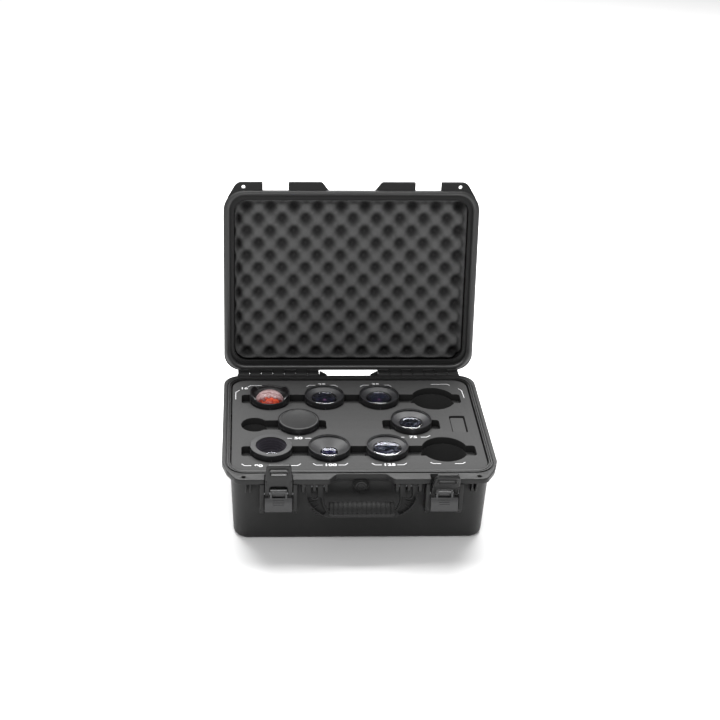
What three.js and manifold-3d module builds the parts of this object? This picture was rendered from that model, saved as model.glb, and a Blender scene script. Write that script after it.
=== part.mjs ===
// Hard transport case, standing open, that holds a set of eight cinema lenses in cut foam.
//
// Millimetres, +Z up, +X to the right of the case's front, +Y from the front to the hinges.
// The origin is the centre of the base's underside. The lid is drawn closed and then turned open
// about the hinge line, and the hooks and the handle are drawn upright and then turned the same way.

import * as THREE from 'three';
import { mergeVertices } from 'three/addons/utils/BufferGeometryUtils.js';
import Module from 'manifold-3d';

const wasm = await Module();
wasm.setup();

const degrees = THREE.MathUtils.degToRad;

// ---------------------------------------------------------------- driving dimensions

const GAP = 0.3; // running gap between pieces that touch on the real object

// case
const RIM_WIDTH = 515;
const RIM_DEPTH = 396;
const RIM_FRONT_CORNER = 60;
const RIM_BACK_CORNER = 36;
const RIM_Z = 150; // height of the base's rim plane
const CASE_TOP = 200; // height of the closed lid's top
const FLANGE = 11; // thickness of the flange round each rim
const PARTING = 0.6; // gap between the closed rims
const WALL = 4;
const DRAFT = 0.043; // how far a wall leans in for each millimetre away from the rim
const BODY_HALF_WIDTH = 242.5;
const BODY_FRONT = -175.3;
const BODY_BACK = 190;
const BODY_CORNER = 36;
const BOTTOM_EDGE = 7; // radius of the edge round the underside
const SHOULDER_Z = 131; // where the base's wall steps out to its rim box
const WELL = { left: -242, right: 242, front: -163, back: 184.5, corner: 30 };
const TONGUE = { left: -248, right: 248, front: -174, back: 188.5, corner: 35 };
const TONGUE_WIDTH = 3;
const TONGUE_HEIGHT = 1.8;
const GROOVE_DEPTH = 4.8;
const LID_MOUTH = { left: -236, right: 236, front: -161, back: 176, corner: 26 };

// the front edge of both rims, as distances from the middle plane
const RECESS_EDGE = 50;
const LEDGE_INNER = 60;
const NOTCH_INNER = 127;
const NOTCH_OUTER = 178.5;
const NOTCH_DEPTH = 18;
const PADLOCK_X = 217;
const PADLOCK_INSET = 10;
const PADLOCK_RADIUS = 3.6;

// hinges
const HINGE_Y = 206;
const HINGE_Z = 145.5;
const HINGE_INNER = 61;
const HINGE_LENGTH = 168;
const KNUCKLE_COUNT = 7;
const KNUCKLE_RADIUS = 7.2;
const KNUCKLE_GAP = 0.9;
const HINGE_PIN_RADIUS = 2.4;
const LID_OPEN = degrees(99.5);

// latches
const LATCH_X = 152.75;
const LATCH_WIDTH = 50.4;
const LATCH_RIB = 7.5;
const LATCH_SPAN = 53.5; // between the ribs
const LATCH_PIN = { y: -195.9, z: 118, radius: 2 };
const PIN_HOLE = 0.45; // radial clearance of a pin in its hole
const HOOK_THICK = 5.8;
const HOOK_TOP = 182;
const LIP_THICK = 4;
const LIP_REACH = -189.5;
const STRIKE = { front: -177, bottom: 168, top: 174 };
const LEG_TOP = 136; // top of the arch between the hook's legs
const LEG_GAP = 33; // between the hook's two legs
const LEVER_TOP = 113; // top of the lever's finger plate, below the swing of the hook
const LEFT_HOOK_TILT = degrees(2);
const RIGHT_HOOK_TILT = degrees(29.5);

// handle
const HANDLE_PIVOT = { y: -190, z: 131.5, radius: 3 };
const HANDLE_TILT = degrees(-28);
const LUG_RIBS = [65.6, 87, 107.5];
const LUG_RIB_WIDTH = 5.5;
const ARM_HALF_THICK = 5.4;
const ARM_TOP = 4.5; // the arms end this far above the pivot
const GRIP_CENTRE = -44;
const GRIP_RADIUS = 14;
const GRIP_HALF_LENGTH = 60;

// vent valve
const VALVE_Z = 124.5;
const VALVE_RADIUS = 14.1;
const VALVE_SEAT = 12.4;

// foam
const FOAM_TOP = 146;
const TOP_LAYER = 15;
const CORE_BOTTOM = 20;
const PAD_BOTTOM = 5;
const FOAM_INSET = 0.7;
const CORE_SEAMS = [-38.6, 55.5]; // where the core is parted into a strip for each row of pockets
const ROW_SEAM = 108.6; // where the front and back strips are parted, beside their empty pockets
const MIDDLE_SEAM = -160.5; // where the middle strip is parted, beside the small pocket
const ROWS = { back: 104, middle: 7, front: -90 };
const COLUMN = 110;
const POCKET_RADIUS = 41.3;
const EMPTY_RADIUS = 44;
const EMPTY_SHIFT = 3; // the empty pockets' centres stand this far behind their row's
const SLOT_WIDTH = 35;
const SMALL_POCKET = { x: -195.7, y: 6, radius: 26, floor: 95 };
const PLUG = { x: 203.3, y: 6.5, width: 28, depth: 60, top: 143.5, bottom: 116 };
const LID_FOAM_FACE = 168;

// lenses: ring radius 40, their front rings stand level with each other
const RING_TOP = 158;
const RING_RADIUS = 40;
const BORE_RADIUS = 37.6;
const LENS_SIDES = 20;
const CAP_THICK = 3.2;
const THREAD_DEPTH = 4; // straight part of each lens's mouth
const EMPTY_POCKETS = [
  { x: 1.5 * COLUMN, y: ROWS.back + EMPTY_SHIFT, radius: EMPTY_RADIUS, floor: 38 },
  { x: 1.5 * COLUMN, y: ROWS.front + EMPTY_SHIFT, radius: EMPTY_RADIUS, floor: 38 },
];
// window: radius of the front glass; sunk: depth of its edge below the ring; bulge: height of its dome
const LENSES = [
  { name: 'lens_16', x: -1.5, row: 'back', length: 126, window: 27, sunk: 14, bulge: 21, hood: true },
  { name: 'lens_25', x: -0.5, row: 'back', length: 108, window: 25, sunk: 9, bulge: 4 },
  { name: 'lens_35', x: 0.5, row: 'back', length: 108, window: 25, sunk: 9, bulge: 4 },
  { name: 'lens_50', x: -1, row: 'middle', length: 108, window: 24, sunk: 13, bulge: 3, capped: true },
  { name: 'lens_75', x: 1, row: 'middle', length: 108, window: 22.5, sunk: 10, bulge: 3 },
  { name: 'lens_90', x: -1.5, row: 'front', length: 120, window: 19, sunk: 26, bulge: 2, lip: 29 },
  { name: 'lens_100', x: -0.5, row: 'front', length: 114, window: 16.5, sunk: 15, bulge: 2 },
  { name: 'lens_125', x: 0.5, row: 'front', length: 122, window: 27.5, sunk: 9, bulge: 3 },
];

// ---------------------------------------------------------------- solids

/** A closed geometry as a solid that can be joined and cut. */
function solid(geometry) {
  const source = geometry.index ? geometry.toNonIndexed() : geometry.clone();
  source.deleteAttribute('normal');
  source.deleteAttribute('uv');
  const merged = mergeVertices(source, 1e-3);
  return new wasm.Manifold(
    new wasm.Mesh({
      numProp: 3,
      vertProperties: merged.attributes.position.array,
      triVerts: new Uint32Array(merged.index.array),
    }),
  );
}

/** A solid's surface as a geometry with flat faces. */
function surface(body) {
  const mesh = body.getMesh();
  const geometry = new THREE.BufferGeometry();
  geometry.setAttribute('position', new THREE.BufferAttribute(new Float32Array(mesh.vertProperties), 3));
  geometry.setIndex(new THREE.BufferAttribute(new Uint32Array(mesh.triVerts), 1));
  const flat = geometry.toNonIndexed();
  flat.computeVertexNormals();
  return flat;
}

function join(first, ...others) {
  return others.reduce((sum, other) => sum.add(other), first);
}

function cut(body, ...tools) {
  return tools.reduce((rest, tool) => rest.subtract(tool), body);
}

/** A box from its lowest to its highest corner. */
function block(x0, x1, y0, y1, z0, z1) {
  const box = new THREE.BoxGeometry(x1 - x0, y1 - y0, z1 - z0);
  return solid(box.translate((x0 + x1) / 2, (y0 + y1) / 2, (z0 + z1) / 2));
}

const ALONG_Z = new THREE.Matrix4();
const ALONG_X = new THREE.Matrix4().makeBasis(
  new THREE.Vector3(0, 1, 0),
  new THREE.Vector3(0, 0, 1),
  new THREE.Vector3(1, 0, 0),
);
const ALONG_Y = new THREE.Matrix4().makeBasis(
  new THREE.Vector3(0, 0, 1),
  new THREE.Vector3(1, 0, 0),
  new THREE.Vector3(0, 1, 0),
);

/** A shape swept from one height to another along an axis: its own x and y become the two axes
 *  that follow the sweep's axis in the order X, Y, Z, X, Y. */
function sweep(shape, axis, from, to, options = {}) {
  const geometry = new THREE.ExtrudeGeometry(shape, {
    depth: to - from,
    bevelEnabled: false,
    curveSegments: 3,
    ...options,
  });
  return solid(geometry.translate(0, 0, from).applyMatrix4(axis));
}

function polygon(points) {
  return new THREE.Shape(points.map(([u, v]) => new THREE.Vector2(u, v)));
}

/** A round bar between two heights along an axis, its centre at (u, v) as in sweep. */
function bar(axis, u, v, radius, from, to, sides = 16) {
  const geometry = new THREE.CylinderGeometry(radius, radius, to - from, sides);
  geometry.rotateX(Math.PI / 2).translate(u, v, (from + to) / 2);
  return solid(geometry.applyMatrix4(axis));
}

/** A closed ring profile of [radius, height] points turned about a vertical axis. */
function turned(profile, sides = LENS_SIDES) {
  const closed = [...profile, profile[0]].map(([r, h]) => new THREE.Vector2(r, h));
  return solid(new THREE.LatheGeometry(closed, sides).rotateX(Math.PI / 2));
}

function roundedRectangle({ left, right, front, back, corner }) {
  const shape = new THREE.Shape();
  shape.moveTo(left + corner, front);
  shape.lineTo(right - corner, front);
  shape.absarc(right - corner, front + corner, corner, -Math.PI / 2, 0);
  shape.lineTo(right, back - corner);
  shape.absarc(right - corner, back - corner, corner, 0, Math.PI / 2);
  shape.lineTo(left + corner, back);
  shape.absarc(left + corner, back - corner, corner, Math.PI / 2, Math.PI);
  shape.lineTo(left, front + corner);
  shape.absarc(left + corner, front + corner, corner, Math.PI, 1.5 * Math.PI);
  return shape;
}

/** The same rectangle with each side moved in by a distance. */
function inset({ left, right, front, back, corner }, by) {
  return {
    left: left + by,
    right: right - by,
    front: front + by,
    back: back - by,
    corner: corner - by,
  };
}

/** Leans the sides of a block in, by DRAFT for each millimetre away from the plane at height z. */
function draft(geometry, z, middle) {
  const position = geometry.getAttribute('position');
  for (let i = 0; i < position.count; i += 1) {
    const lean = DRAFT * Math.abs(z - position.getZ(i));
    position.setX(i, position.getX(i) - Math.sign(position.getX(i)) * lean);
    position.setY(i, position.getY(i) - Math.sign(position.getY(i) - middle) * lean);
  }
  return geometry;
}

/** A drafted block with rounded edges all round the end that is away from the rim plane. */
function vessel(outline, from, to, rimZ, edge) {
  const geometry = new THREE.ExtrudeGeometry(roundedRectangle(outline), {
    depth: to - from - edge,
    curveSegments: 3,
    bevelThickness: edge,
    bevelSize: edge,
    bevelOffset: -edge,
    bevelSegments: 2,
  });
  if (to > rimZ) geometry.translate(0, 0, from);
  else geometry.translate(0, 0, from + edge);
  const body = solid(draft(geometry, rimZ, (outline.front + outline.back) / 2));
  return body.intersect(block(-RIM_WIDTH, RIM_WIDTH, -RIM_DEPTH, RIM_DEPTH, from, to));
}

// ---------------------------------------------------------------- materials and the scene graph

const FINISHES = {
  case_plastic: { color: 0x2b2c2d, roughness: 0.55, metalness: 0 },
  latch_plastic: { color: 0x2e2f30, roughness: 0.5, metalness: 0 },
  lever_plastic: { color: 0x4a4b4c, roughness: 0.5, metalness: 0 },
  rubber: { color: 0x1b1b1c, roughness: 0.85, metalness: 0 },
  pin_steel: { color: 0x77797b, roughness: 0.35, metalness: 1 },
  foam: { color: 0x4d4d4f, roughness: 0.95, metalness: 0 },
  lid_foam: { color: 0x39393b, roughness: 1, metalness: 0 },
  lens_black: { color: 0x151517, roughness: 0.4, metalness: 0.6 },
  lens_ring: { color: 0x1c1c1e, roughness: 0.5, metalness: 0.5 },
  lens_cap: { color: 0x37383a, roughness: 0.45, metalness: 0.2 },
  lens_glass: { color: 0x27304a, roughness: 0.05, metalness: 0 },
};

const model = new THREE.Group();

function placed(parent, x, y, z, turn = 0) {
  const group = new THREE.Group();
  group.position.set(x, y, z);
  group.rotation.x = turn;
  parent.add(group);
  return group;
}

/** Adds a solid, drawn in case coordinates, to a group whose pivot is at (x, y, z) in them. */
function part(name, finish, body, parent = model, pivot = { x: 0, y: 0, z: 0 }) {
  const geometry = surface(body).translate(-pivot.x, -pivot.y, -pivot.z);
  const mesh = new THREE.Mesh(geometry, new THREE.MeshStandardMaterial(FINISHES[finish]));
  mesh.name = name;
  parent.add(mesh);
}

// ---------------------------------------------------------------- the two shells

/** The outline of either rim's flange: two latch notches and a middle recess in the front edge. */
function rimOutline() {
  const x = RIM_WIDTH / 2;
  const y = RIM_DEPTH / 2;
  const r = RIM_FRONT_CORNER;
  const q = RIM_BACK_CORNER;
  const inner = -y + NOTCH_DEPTH;
  const shape = new THREE.Shape();
  shape.moveTo(-RECESS_EDGE, inner);
  shape.lineTo(RECESS_EDGE, inner);
  shape.lineTo(LEDGE_INNER, -y);
  shape.lineTo(NOTCH_INNER, -y);
  shape.lineTo(NOTCH_INNER, inner);
  shape.lineTo(NOTCH_OUTER, inner);
  shape.lineTo(NOTCH_OUTER, -y);
  shape.lineTo(x - r, -y);
  shape.absarc(x - r, -y + r, r, -Math.PI / 2, 0);
  shape.lineTo(x, y - q);
  shape.absarc(x - q, y - q, q, 0, Math.PI / 2);
  shape.lineTo(-x + q, y);
  shape.absarc(-x + q, y - q, q, Math.PI / 2, Math.PI);
  shape.lineTo(-x, -y + r);
  shape.absarc(-x + r, -y + r, r, Math.PI, 1.5 * Math.PI);
  shape.lineTo(-NOTCH_OUTER, -y);
  shape.lineTo(-NOTCH_OUTER, inner);
  shape.lineTo(-NOTCH_INNER, inner);
  shape.lineTo(-NOTCH_INNER, -y);
  shape.lineTo(-LEDGE_INNER, -y);
  return shape;
}

const BODY = {
  left: -BODY_HALF_WIDTH,
  right: BODY_HALF_WIDTH,
  front: BODY_FRONT,
  back: BODY_BACK,
  corner: BODY_CORNER,
};

/** Both padlock holes through a flange between two heights. */
function padlockHoles(from, to) {
  const y = -RIM_DEPTH / 2 + PADLOCK_INSET;
  return [-PADLOCK_X, PADLOCK_X].map((x) => bar(ALONG_Z, x, y, PADLOCK_RADIUS, from, to, 12));
}

/** Where hinge knuckle number i of a side begins and ends. */
function knuckleSpan(side, i) {
  const pitch = HINGE_LENGTH / KNUCKLE_COUNT;
  const start = HINGE_INNER + i * pitch + KNUCKLE_GAP / 2;
  const end = start + pitch - KNUCKLE_GAP;
  return side > 0 ? [start, end] : [-end, -start];
}

/** The knuckles of one shell: even ones belong to the base, odd ones to the lid. */
function knuckles(parity, arm) {
  const made = [];
  for (const side of [-1, 1]) {
    for (let i = parity; i < KNUCKLE_COUNT; i += 2) {
      const [from, to] = knuckleSpan(side, i);
      const barrel = bar(ALONG_X, HINGE_Y, HINGE_Z, KNUCKLE_RADIUS, from, to);
      made.push(join(barrel, sweep(polygon(arm), ALONG_X, from, to)));
    }
  }
  return made;
}

function hingeBores() {
  const hole = HINGE_PIN_RADIUS + PIN_HOLE;
  const end = HINGE_INNER + HINGE_LENGTH + 10;
  return [
    bar(ALONG_X, HINGE_Y, HINGE_Z, hole, -end, -HINGE_INNER + 10),
    bar(ALONG_X, HINGE_Y, HINGE_Z, hole, HINGE_INNER - 10, end),
  ];
}

/** The four ribs that carry the two latches. */
function latchRibs() {
  const profile = polygon([
    [-171, 139.5],
    [-200, 139.5],
    [-200, 84],
    [-191, 72],
    [-171, 72],
  ]);
  const made = [];
  for (const side of [-1, 1]) {
    for (const edge of [-1, 1]) {
      const middle = side * LATCH_X + edge * (LATCH_SPAN + LATCH_RIB) / 2;
      made.push(sweep(profile, ALONG_X, middle - LATCH_RIB / 2, middle + LATCH_RIB / 2));
    }
  }
  return made;
}

/** Gussets under the flange beside the padlock holes. */
function gussets() {
  const profile = polygon([
    [-172, 139.5],
    [-194, 139.5],
    [-190, 122],
    [-172, 122],
  ]);
  return [-1, 1].map((side) => {
    const middle = side * 207.5;
    return sweep(profile, ALONG_X, middle - 3.5, middle + 3.5);
  });
}

/** The six ribs under the ledges that the handle's pins run through. */
function handleLugs() {
  const profile = new THREE.Shape();
  profile.moveTo(-172, 139.5);
  profile.lineTo(-198, 139.5);
  profile.lineTo(-198, 128);
  profile.absarc(HANDLE_PIVOT.y, 128, 8, Math.PI, 1.5 * Math.PI);
  profile.lineTo(-172, 120);
  const made = [];
  for (const side of [-1, 1]) {
    for (const x of LUG_RIBS) {
      made.push(
        sweep(profile, ALONG_X, side * x - LUG_RIB_WIDTH / 2, side * x + LUG_RIB_WIDTH / 2),
      );
    }
  }
  return made;
}

function baseShell() {
  const rimBox = inset(TONGUE, -1);
  const outside = join(
    vessel(BODY, 0, SHOULDER_Z + 1, RIM_Z, BOTTOM_EDGE),
    sweep(roundedRectangle(rimBox), ALONG_Z, SHOULDER_Z, RIM_Z),
    sweep(rimOutline(), ALONG_Z, RIM_Z - FLANGE, RIM_Z),
    sweep(roundedRectangle(TONGUE), ALONG_Z, RIM_Z - 1, RIM_Z + TONGUE_HEIGHT),
    ...latchRibs(),
    ...gussets(),
    ...handleLugs(),
    bar(ALONG_Y, VALVE_Z, 0, VALVE_RADIUS + 1.5, BODY_FRONT - 2, BODY_FRONT + 3, 24),
    ...knuckles(0, [
      [195, 139.5],
      [HINGE_Y, 139.5],
      [HINGE_Y, 151],
      [199, 148.5],
      [195, 148.5],
    ]),
  );
  const inside = vessel(inset(BODY, WALL), WALL + 0.5, SHOULDER_Z + 2, RIM_Z, BOTTOM_EDGE - 2);
  const well = sweep(roundedRectangle(WELL), ALONG_Z, SHOULDER_Z - 1, RIM_Z + 5);
  const step = cut(
    sweep(roundedRectangle(inset(TONGUE, TONGUE_WIDTH)), ALONG_Z, RIM_Z, RIM_Z + 5),
    well,
  );
  const pins = [
    bar(ALONG_X, LATCH_PIN.y, LATCH_PIN.z, LATCH_PIN.radius + PIN_HOLE, -200, 200, 12),
    bar(ALONG_X, HANDLE_PIVOT.y, HANDLE_PIVOT.z, HANDLE_PIVOT.radius + PIN_HOLE, -112, 112, 12),
  ];
  const vent = bar(ALONG_Y, VALVE_Z, 0, 8 + GAP, BODY_FRONT - 5, BODY_FRONT + 12, 16);
  return cut(outside, inside, well, step, ...pins, vent, ...padlockHoles(130, 160), ...hingeBores());
}

function lidShell() {
  const bottom = RIM_Z + PARTING;
  const flangeTop = bottom + FLANGE;
  const strikes = [-1, 1].map((side) =>
    block(side * LATCH_X - 21, side * LATCH_X + 21, STRIKE.front, -172, STRIKE.bottom, STRIKE.top),
  );
  const leaves = [-1, 1].map((side) => {
    const ends = [side * HINGE_INNER, side * (HINGE_INNER + HINGE_LENGTH)].sort((a, b) => a - b);
    return block(...ends, 190, 204, 153.6, flangeTop);
  });
  const outside = join(
    vessel(BODY, flangeTop - 1, CASE_TOP, flangeTop, 14),
    sweep(rimOutline(), ALONG_Z, bottom, flangeTop),
    ...strikes,
    ...leaves,
    ...knuckles(1, [
      [194, bottom],
      [198, bottom],
      [HINGE_Y, 151],
      [HINGE_Y + 5, 149],
      [HINGE_Y, 155],
      [198, 159],
      [194, 159],
    ]),
  );
  const inside = vessel(inset(BODY, WALL), flangeTop - 1, CASE_TOP - WALL, flangeTop, 10);
  const mouth = sweep(roundedRectangle(LID_MOUTH), ALONG_Z, bottom - 1, flangeTop);
  const groove = cut(
    sweep(roundedRectangle(inset(TONGUE, -0.8)), ALONG_Z, bottom - 1, bottom + GROOVE_DEPTH),
    sweep(
      roundedRectangle(inset(TONGUE, TONGUE_WIDTH + 0.8)),
      ALONG_Z,
      bottom - 2,
      bottom + GROOVE_DEPTH + 1,
    ),
  );
  return cut(outside, inside, mouth, groove, ...padlockHoles(140, 180), ...hingeBores());
}

function lidGasket() {
  const top = RIM_Z + PARTING + GROOVE_DEPTH - GAP;
  const bottom = RIM_Z + TONGUE_HEIGHT + GAP;
  return cut(
    sweep(roundedRectangle(inset(TONGUE, -0.3)), ALONG_Z, bottom, top),
    sweep(roundedRectangle(inset(TONGUE, TONGUE_WIDTH + 0.3)), ALONG_Z, bottom - 1, top + 1),
  );
}

// ---------------------------------------------------------------- latches

/** The pin's hole across one latch. */
function latchBore(x) {
  const radius = LATCH_PIN.radius + PIN_HOLE;
  return bar(ALONG_X, LATCH_PIN.y, LATCH_PIN.z, radius, x - 40, x + 40, 12);
}

/** The hook: a windowed plate with a lip at the top and two legs down to the pin. */
function latchHook(x) {
  const half = LATCH_WIDTH / 2;
  const { y, z } = LATCH_PIN;
  const back = y + HOOK_THICK / 2;
  const front = y - HOOK_THICK / 2;
  const plate = block(x - half, x + half, front, back, z, HOOK_TOP);
  const eyes = bar(ALONG_X, y, z, HOOK_THICK / 2 + 0.5, x - half, x + half, 12);
  const lip = block(x - 19, x + 19, front, LIP_REACH, HOOK_TOP - LIP_THICK, HOOK_TOP);
  const window = block(x - 17.5, x + 17.5, -220, back + 1, 157, HOOK_TOP - LIP_THICK - 0.6);
  const between = block(x - LEG_GAP / 2, x + LEG_GAP / 2, -220, -150, 80, LEG_TOP);
  return cut(join(plate, eyes, lip), window, between, latchBore(x));
}

/** The lever: a finger plate below the hook, and a middle tab between its legs on the same pin. */
function latchLever(x) {
  const plate = polygon([
    [-199.5, LEVER_TOP],
    [-204, LEVER_TOP],
    [-207.5, 101],
    [-207, 86],
    [-204, 86],
    [-203, 95],
    [-199.5, 101],
  ]);
  const tab = polygon([
    [-204, 105],
    [-201.5, 126],
    [-193, 126],
    [-190, 118],
    [-192, 105],
    [-201, 97],
  ]);
  const half = LATCH_WIDTH / 2;
  const between = LEG_GAP / 2 - 0.8;
  return cut(
    join(sweep(plate, ALONG_X, x - half, x + half), sweep(tab, ALONG_X, x - between, x + between)),
    latchBore(x),
  );
}

function addLatch(side, label, tilt) {
  const x = side * LATCH_X;
  const { y, z, radius } = LATCH_PIN;
  const pinHalf = LATCH_SPAN / 2 + LATCH_RIB - 0.5;
  const swung = placed(model, 0, y, z, tilt);
  part(`latch_${label}_pin`, 'pin_steel', bar(ALONG_X, y, z, radius, x - pinHalf, x + pinHalf, 12));
  part(`latch_${label}_lever`, 'lever_plastic', latchLever(x));
  part(`latch_${label}_hook`, 'latch_plastic', latchHook(x), swung, { x: 0, y, z });
}

// ---------------------------------------------------------------- handle

/** The handle's outline, seen square to it: forked at the pivots, swept in to the grip. */
function handleOutline() {
  const bottom = GRIP_CENTRE - GRIP_RADIUS;
  const shape = new THREE.Shape();
  shape.moveTo(-103.3, ARM_TOP);
  shape.lineTo(-103.3, -12);
  shape.quadraticCurveTo(-100, -43, -62, bottom);
  shape.lineTo(62, bottom);
  shape.quadraticCurveTo(100, -43, 103.3, -12);
  shape.lineTo(103.3, ARM_TOP);
  shape.lineTo(93.3, ARM_TOP);
  shape.lineTo(93.3, -17);
  shape.absarc(87, -17, 6.3, 0, -Math.PI, true);
  shape.lineTo(80.7, ARM_TOP);
  shape.lineTo(70.6, ARM_TOP);
  shape.lineTo(70.6, -22);
  shape.quadraticCurveTo(69, -36, 63, GRIP_CENTRE);
  shape.lineTo(-63, GRIP_CENTRE);
  shape.quadraticCurveTo(-69, -36, -70.6, -22);
  shape.lineTo(-70.6, ARM_TOP);
  shape.lineTo(-80.7, ARM_TOP);
  shape.lineTo(-80.7, -17);
  shape.absarc(-87, -17, 6.3, 0, -Math.PI, true);
  shape.lineTo(-93.3, ARM_TOP);
  return shape;
}

/** Half of the grip's round section: the half nearer the pivot (+1) or further from it (-1). */
function halfGrip(side, halfLength, gap) {
  const shape = new THREE.Shape();
  const start = side > 0 ? 0 : Math.PI;
  shape.absarc(0, GRIP_CENTRE, GRIP_RADIUS, start, start + Math.PI);
  const round = sweep(shape, ALONG_X, -halfLength, halfLength, { curveSegments: 6 });
  const keep = side > 0 ? [GRIP_CENTRE + gap, 0] : [-100, GRIP_CENTRE];
  return round.intersect(block(-200, 200, -50, 50, ...keep));
}

function addHandle() {
  const swung = placed(model, 0, HANDLE_PIVOT.y, HANDLE_PIVOT.z, HANDLE_TILT);
  const turnedOutline = new THREE.Matrix4().makeBasis(
    new THREE.Vector3(1, 0, 0),
    new THREE.Vector3(0, 0, 1),
    new THREE.Vector3(0, -1, 0),
  );
  const arms = sweep(handleOutline(), turnedOutline, -ARM_HALF_THICK, ARM_HALF_THICK, {
    curveSegments: 6,
  });
  const bore = bar(ALONG_X, 0, 0, HANDLE_PIVOT.radius + PIN_HOLE, -120, 120, 12);
  part('handle_frame', 'case_plastic', cut(join(arms, halfGrip(-1, 61, 0)), bore), swung);
  part('handle_grip', 'rubber', halfGrip(1, GRIP_HALF_LENGTH, GAP), swung);
  for (const [label, side] of [['left', -1], ['right', 1]]) {
    const ends = [side * 62.6, side * 110.4].sort((a, b) => a - b);
    part(
      `handle_pin_${label}`,
      'pin_steel',
      bar(ALONG_X, HANDLE_PIVOT.y, HANDLE_PIVOT.z, HANDLE_PIVOT.radius, ...ends, 12),
    );
  }
}

// ---------------------------------------------------------------- vent valve

function addValve() {
  const face = BODY_FRONT - 2 - GAP;
  const housing = join(
    bar(ALONG_Y, VALVE_Z, 0, VALVE_RADIUS, face - 6, face, 24),
    bar(ALONG_Y, VALVE_Z, 0, 8, face - 1, BODY_FRONT + WALL, 16),
  );
  const seat = bar(ALONG_Y, VALVE_Z, 0, VALVE_SEAT, face - 8, face - 3, 24);
  part('valve_housing', 'case_plastic', cut(housing, seat));
  const knob = bar(ALONG_Y, VALVE_Z, 0, VALVE_SEAT - 0.5, face - 6.8, face - 3.3, 24);
  part('valve_knob', 'latch_plastic', knob);
}

// ---------------------------------------------------------------- foam

function lensPlaces() {
  return [
    ...LENSES.map((lens) => ({
      x: lens.x * COLUMN,
      y: ROWS[lens.row],
      radius: POCKET_RADIUS,
      floor: RING_TOP - lens.length,
    })),
    ...EMPTY_POCKETS,
  ];
}

/** An eight-sided pocket down to a floor, its flats square to the case. */
function pocket({ x, y, radius }, floor) {
  const corner = radius / Math.cos(Math.PI / 8);
  const points = Array.from({ length: 8 }, (_, i) => {
    const angle = ((2 * i + 1) * Math.PI) / 8;
    return [x + corner * Math.cos(angle), y + corner * Math.sin(angle)];
  });
  return sweep(polygon(points), ALONG_Z, floor, FOAM_TOP + 1);
}

function foamTopLayer() {
  const low = FOAM_TOP - TOP_LAYER;
  const sheet = sweep(roundedRectangle(inset(WELL, FOAM_INSET)), ALONG_Z, low, FOAM_TOP);
  const slot = (from, to, y) =>
    block(from, to, y - SLOT_WIDTH / 2, y + SLOT_WIDTH / 2, low - 1, FOAM_TOP + 1);
  return cut(
    sheet,
    ...[...lensPlaces(), SMALL_POCKET].map((place) => pocket(place, low - 1)),
    slot(-221, 220, 106.5),
    slot(-221, 224, -92),
    slot(-190, -56, 4.5),
    slot(54.5, 166, 4.5),
    plugBlock(1, low - 1, FOAM_TOP + 1),
  );
}

/** The foam plug's own block, or with a margin the hole that it sits in. */
function plugBlock(margin, from, to) {
  const outline = {
    left: PLUG.x - PLUG.width / 2 - margin,
    right: PLUG.x + PLUG.width / 2 + margin,
    front: PLUG.y - PLUG.depth / 2 - margin,
    back: PLUG.y + PLUG.depth / 2 + margin,
    corner: 3,
  };
  return sweep(roundedRectangle(outline), ALONG_Z, from, to, { curveSegments: 2 });
}

/** One block of the foam under the top layer, with a blind pocket to suit each lens's length. */
function foamCore(left, right, front, back) {
  const top = FOAM_TOP - TOP_LAYER - GAP;
  const outline = inset(BODY, WALL + 1);
  const geometry = new THREE.ExtrudeGeometry(roundedRectangle(outline), {
    depth: top - CORE_BOTTOM,
    bevelEnabled: false,
    curveSegments: 3,
  });
  geometry.translate(0, 0, CORE_BOTTOM);
  const whole = solid(draft(geometry, RIM_Z, (outline.front + outline.back) / 2));
  const half = GAP / 2;
  const piece = whole.intersect(block(left + half, right - half, front + half, back - half, 0, RIM_Z));
  const within = ({ x, y }) => x > left && x < right && y > front && y < back;
  const tools = [...lensPlaces(), SMALL_POCKET]
    .filter(within)
    .map((place) => pocket(place, place.floor - GAP));
  if (within(PLUG)) tools.push(plugBlock(1, PLUG.bottom - GAP, FOAM_TOP));
  return cut(piece, ...tools);
}

function foamPad() {
  const outline = inset(BODY, WALL + 20);
  const geometry = new THREE.ExtrudeGeometry(roundedRectangle(outline), {
    depth: CORE_BOTTOM - GAP - PAD_BOTTOM,
    bevelEnabled: false,
    curveSegments: 3,
  });
  return solid(geometry.translate(0, 0, PAD_BOTTOM));
}

/** The lid's convoluted sheet, as the block that its peaks and its back fill. */
function lidFoam() {
  return vessel(inset(LID_MOUTH, 1.5), LID_FOAM_FACE, CASE_TOP - WALL - GAP, LID_FOAM_FACE - 1, 11);
}

// ---------------------------------------------------------------- lenses

/** The lens's fixed metalwork, from its mount at height 0 to its front ring at height length. */
function lensBarrel({ length, window, sunk, lip, hood }) {
  const seat = length - sunk;
  const mouth = lip
    ? [[lip, length - 5], [lip, length - 14]]
    : [[BORE_RADIUS, length - THREAD_DEPTH]];
  const profile = [
    [0, 0],
    [31, 0],
    [31, 14],
    [27, 16],
    [27, 22],
    [34, 30],
    [34, length - 15],
    [RING_RADIUS, length - 15],
    [RING_RADIUS, length],
    [BORE_RADIUS, length],
    ...mouth,
    [window + GAP + 0.4, seat],
    [window + GAP + 0.4, seat - 7],
    [0, seat - 7],
  ];
  const body = turned(profile);
  if (!hood) return body;
  const ear = (side) =>
    turned([
      [BORE_RADIUS, length - 2],
      [RING_RADIUS, length - 2],
      [RING_RADIUS, length + 7],
      [BORE_RADIUS, length + 7],
    ]).intersect(block(side * 50 - 20, side * 50 + 20, -20, 20, length - 5, length + 10));
  return join(body, ear(-1), ear(1));
}

/** A ring that turns on the barrel between two heights. */
function lensRing(radius, from, to) {
  return turned([
    [34.9, from],
    [radius, from],
    [radius, to],
    [34.9, to],
  ]);
}

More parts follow.
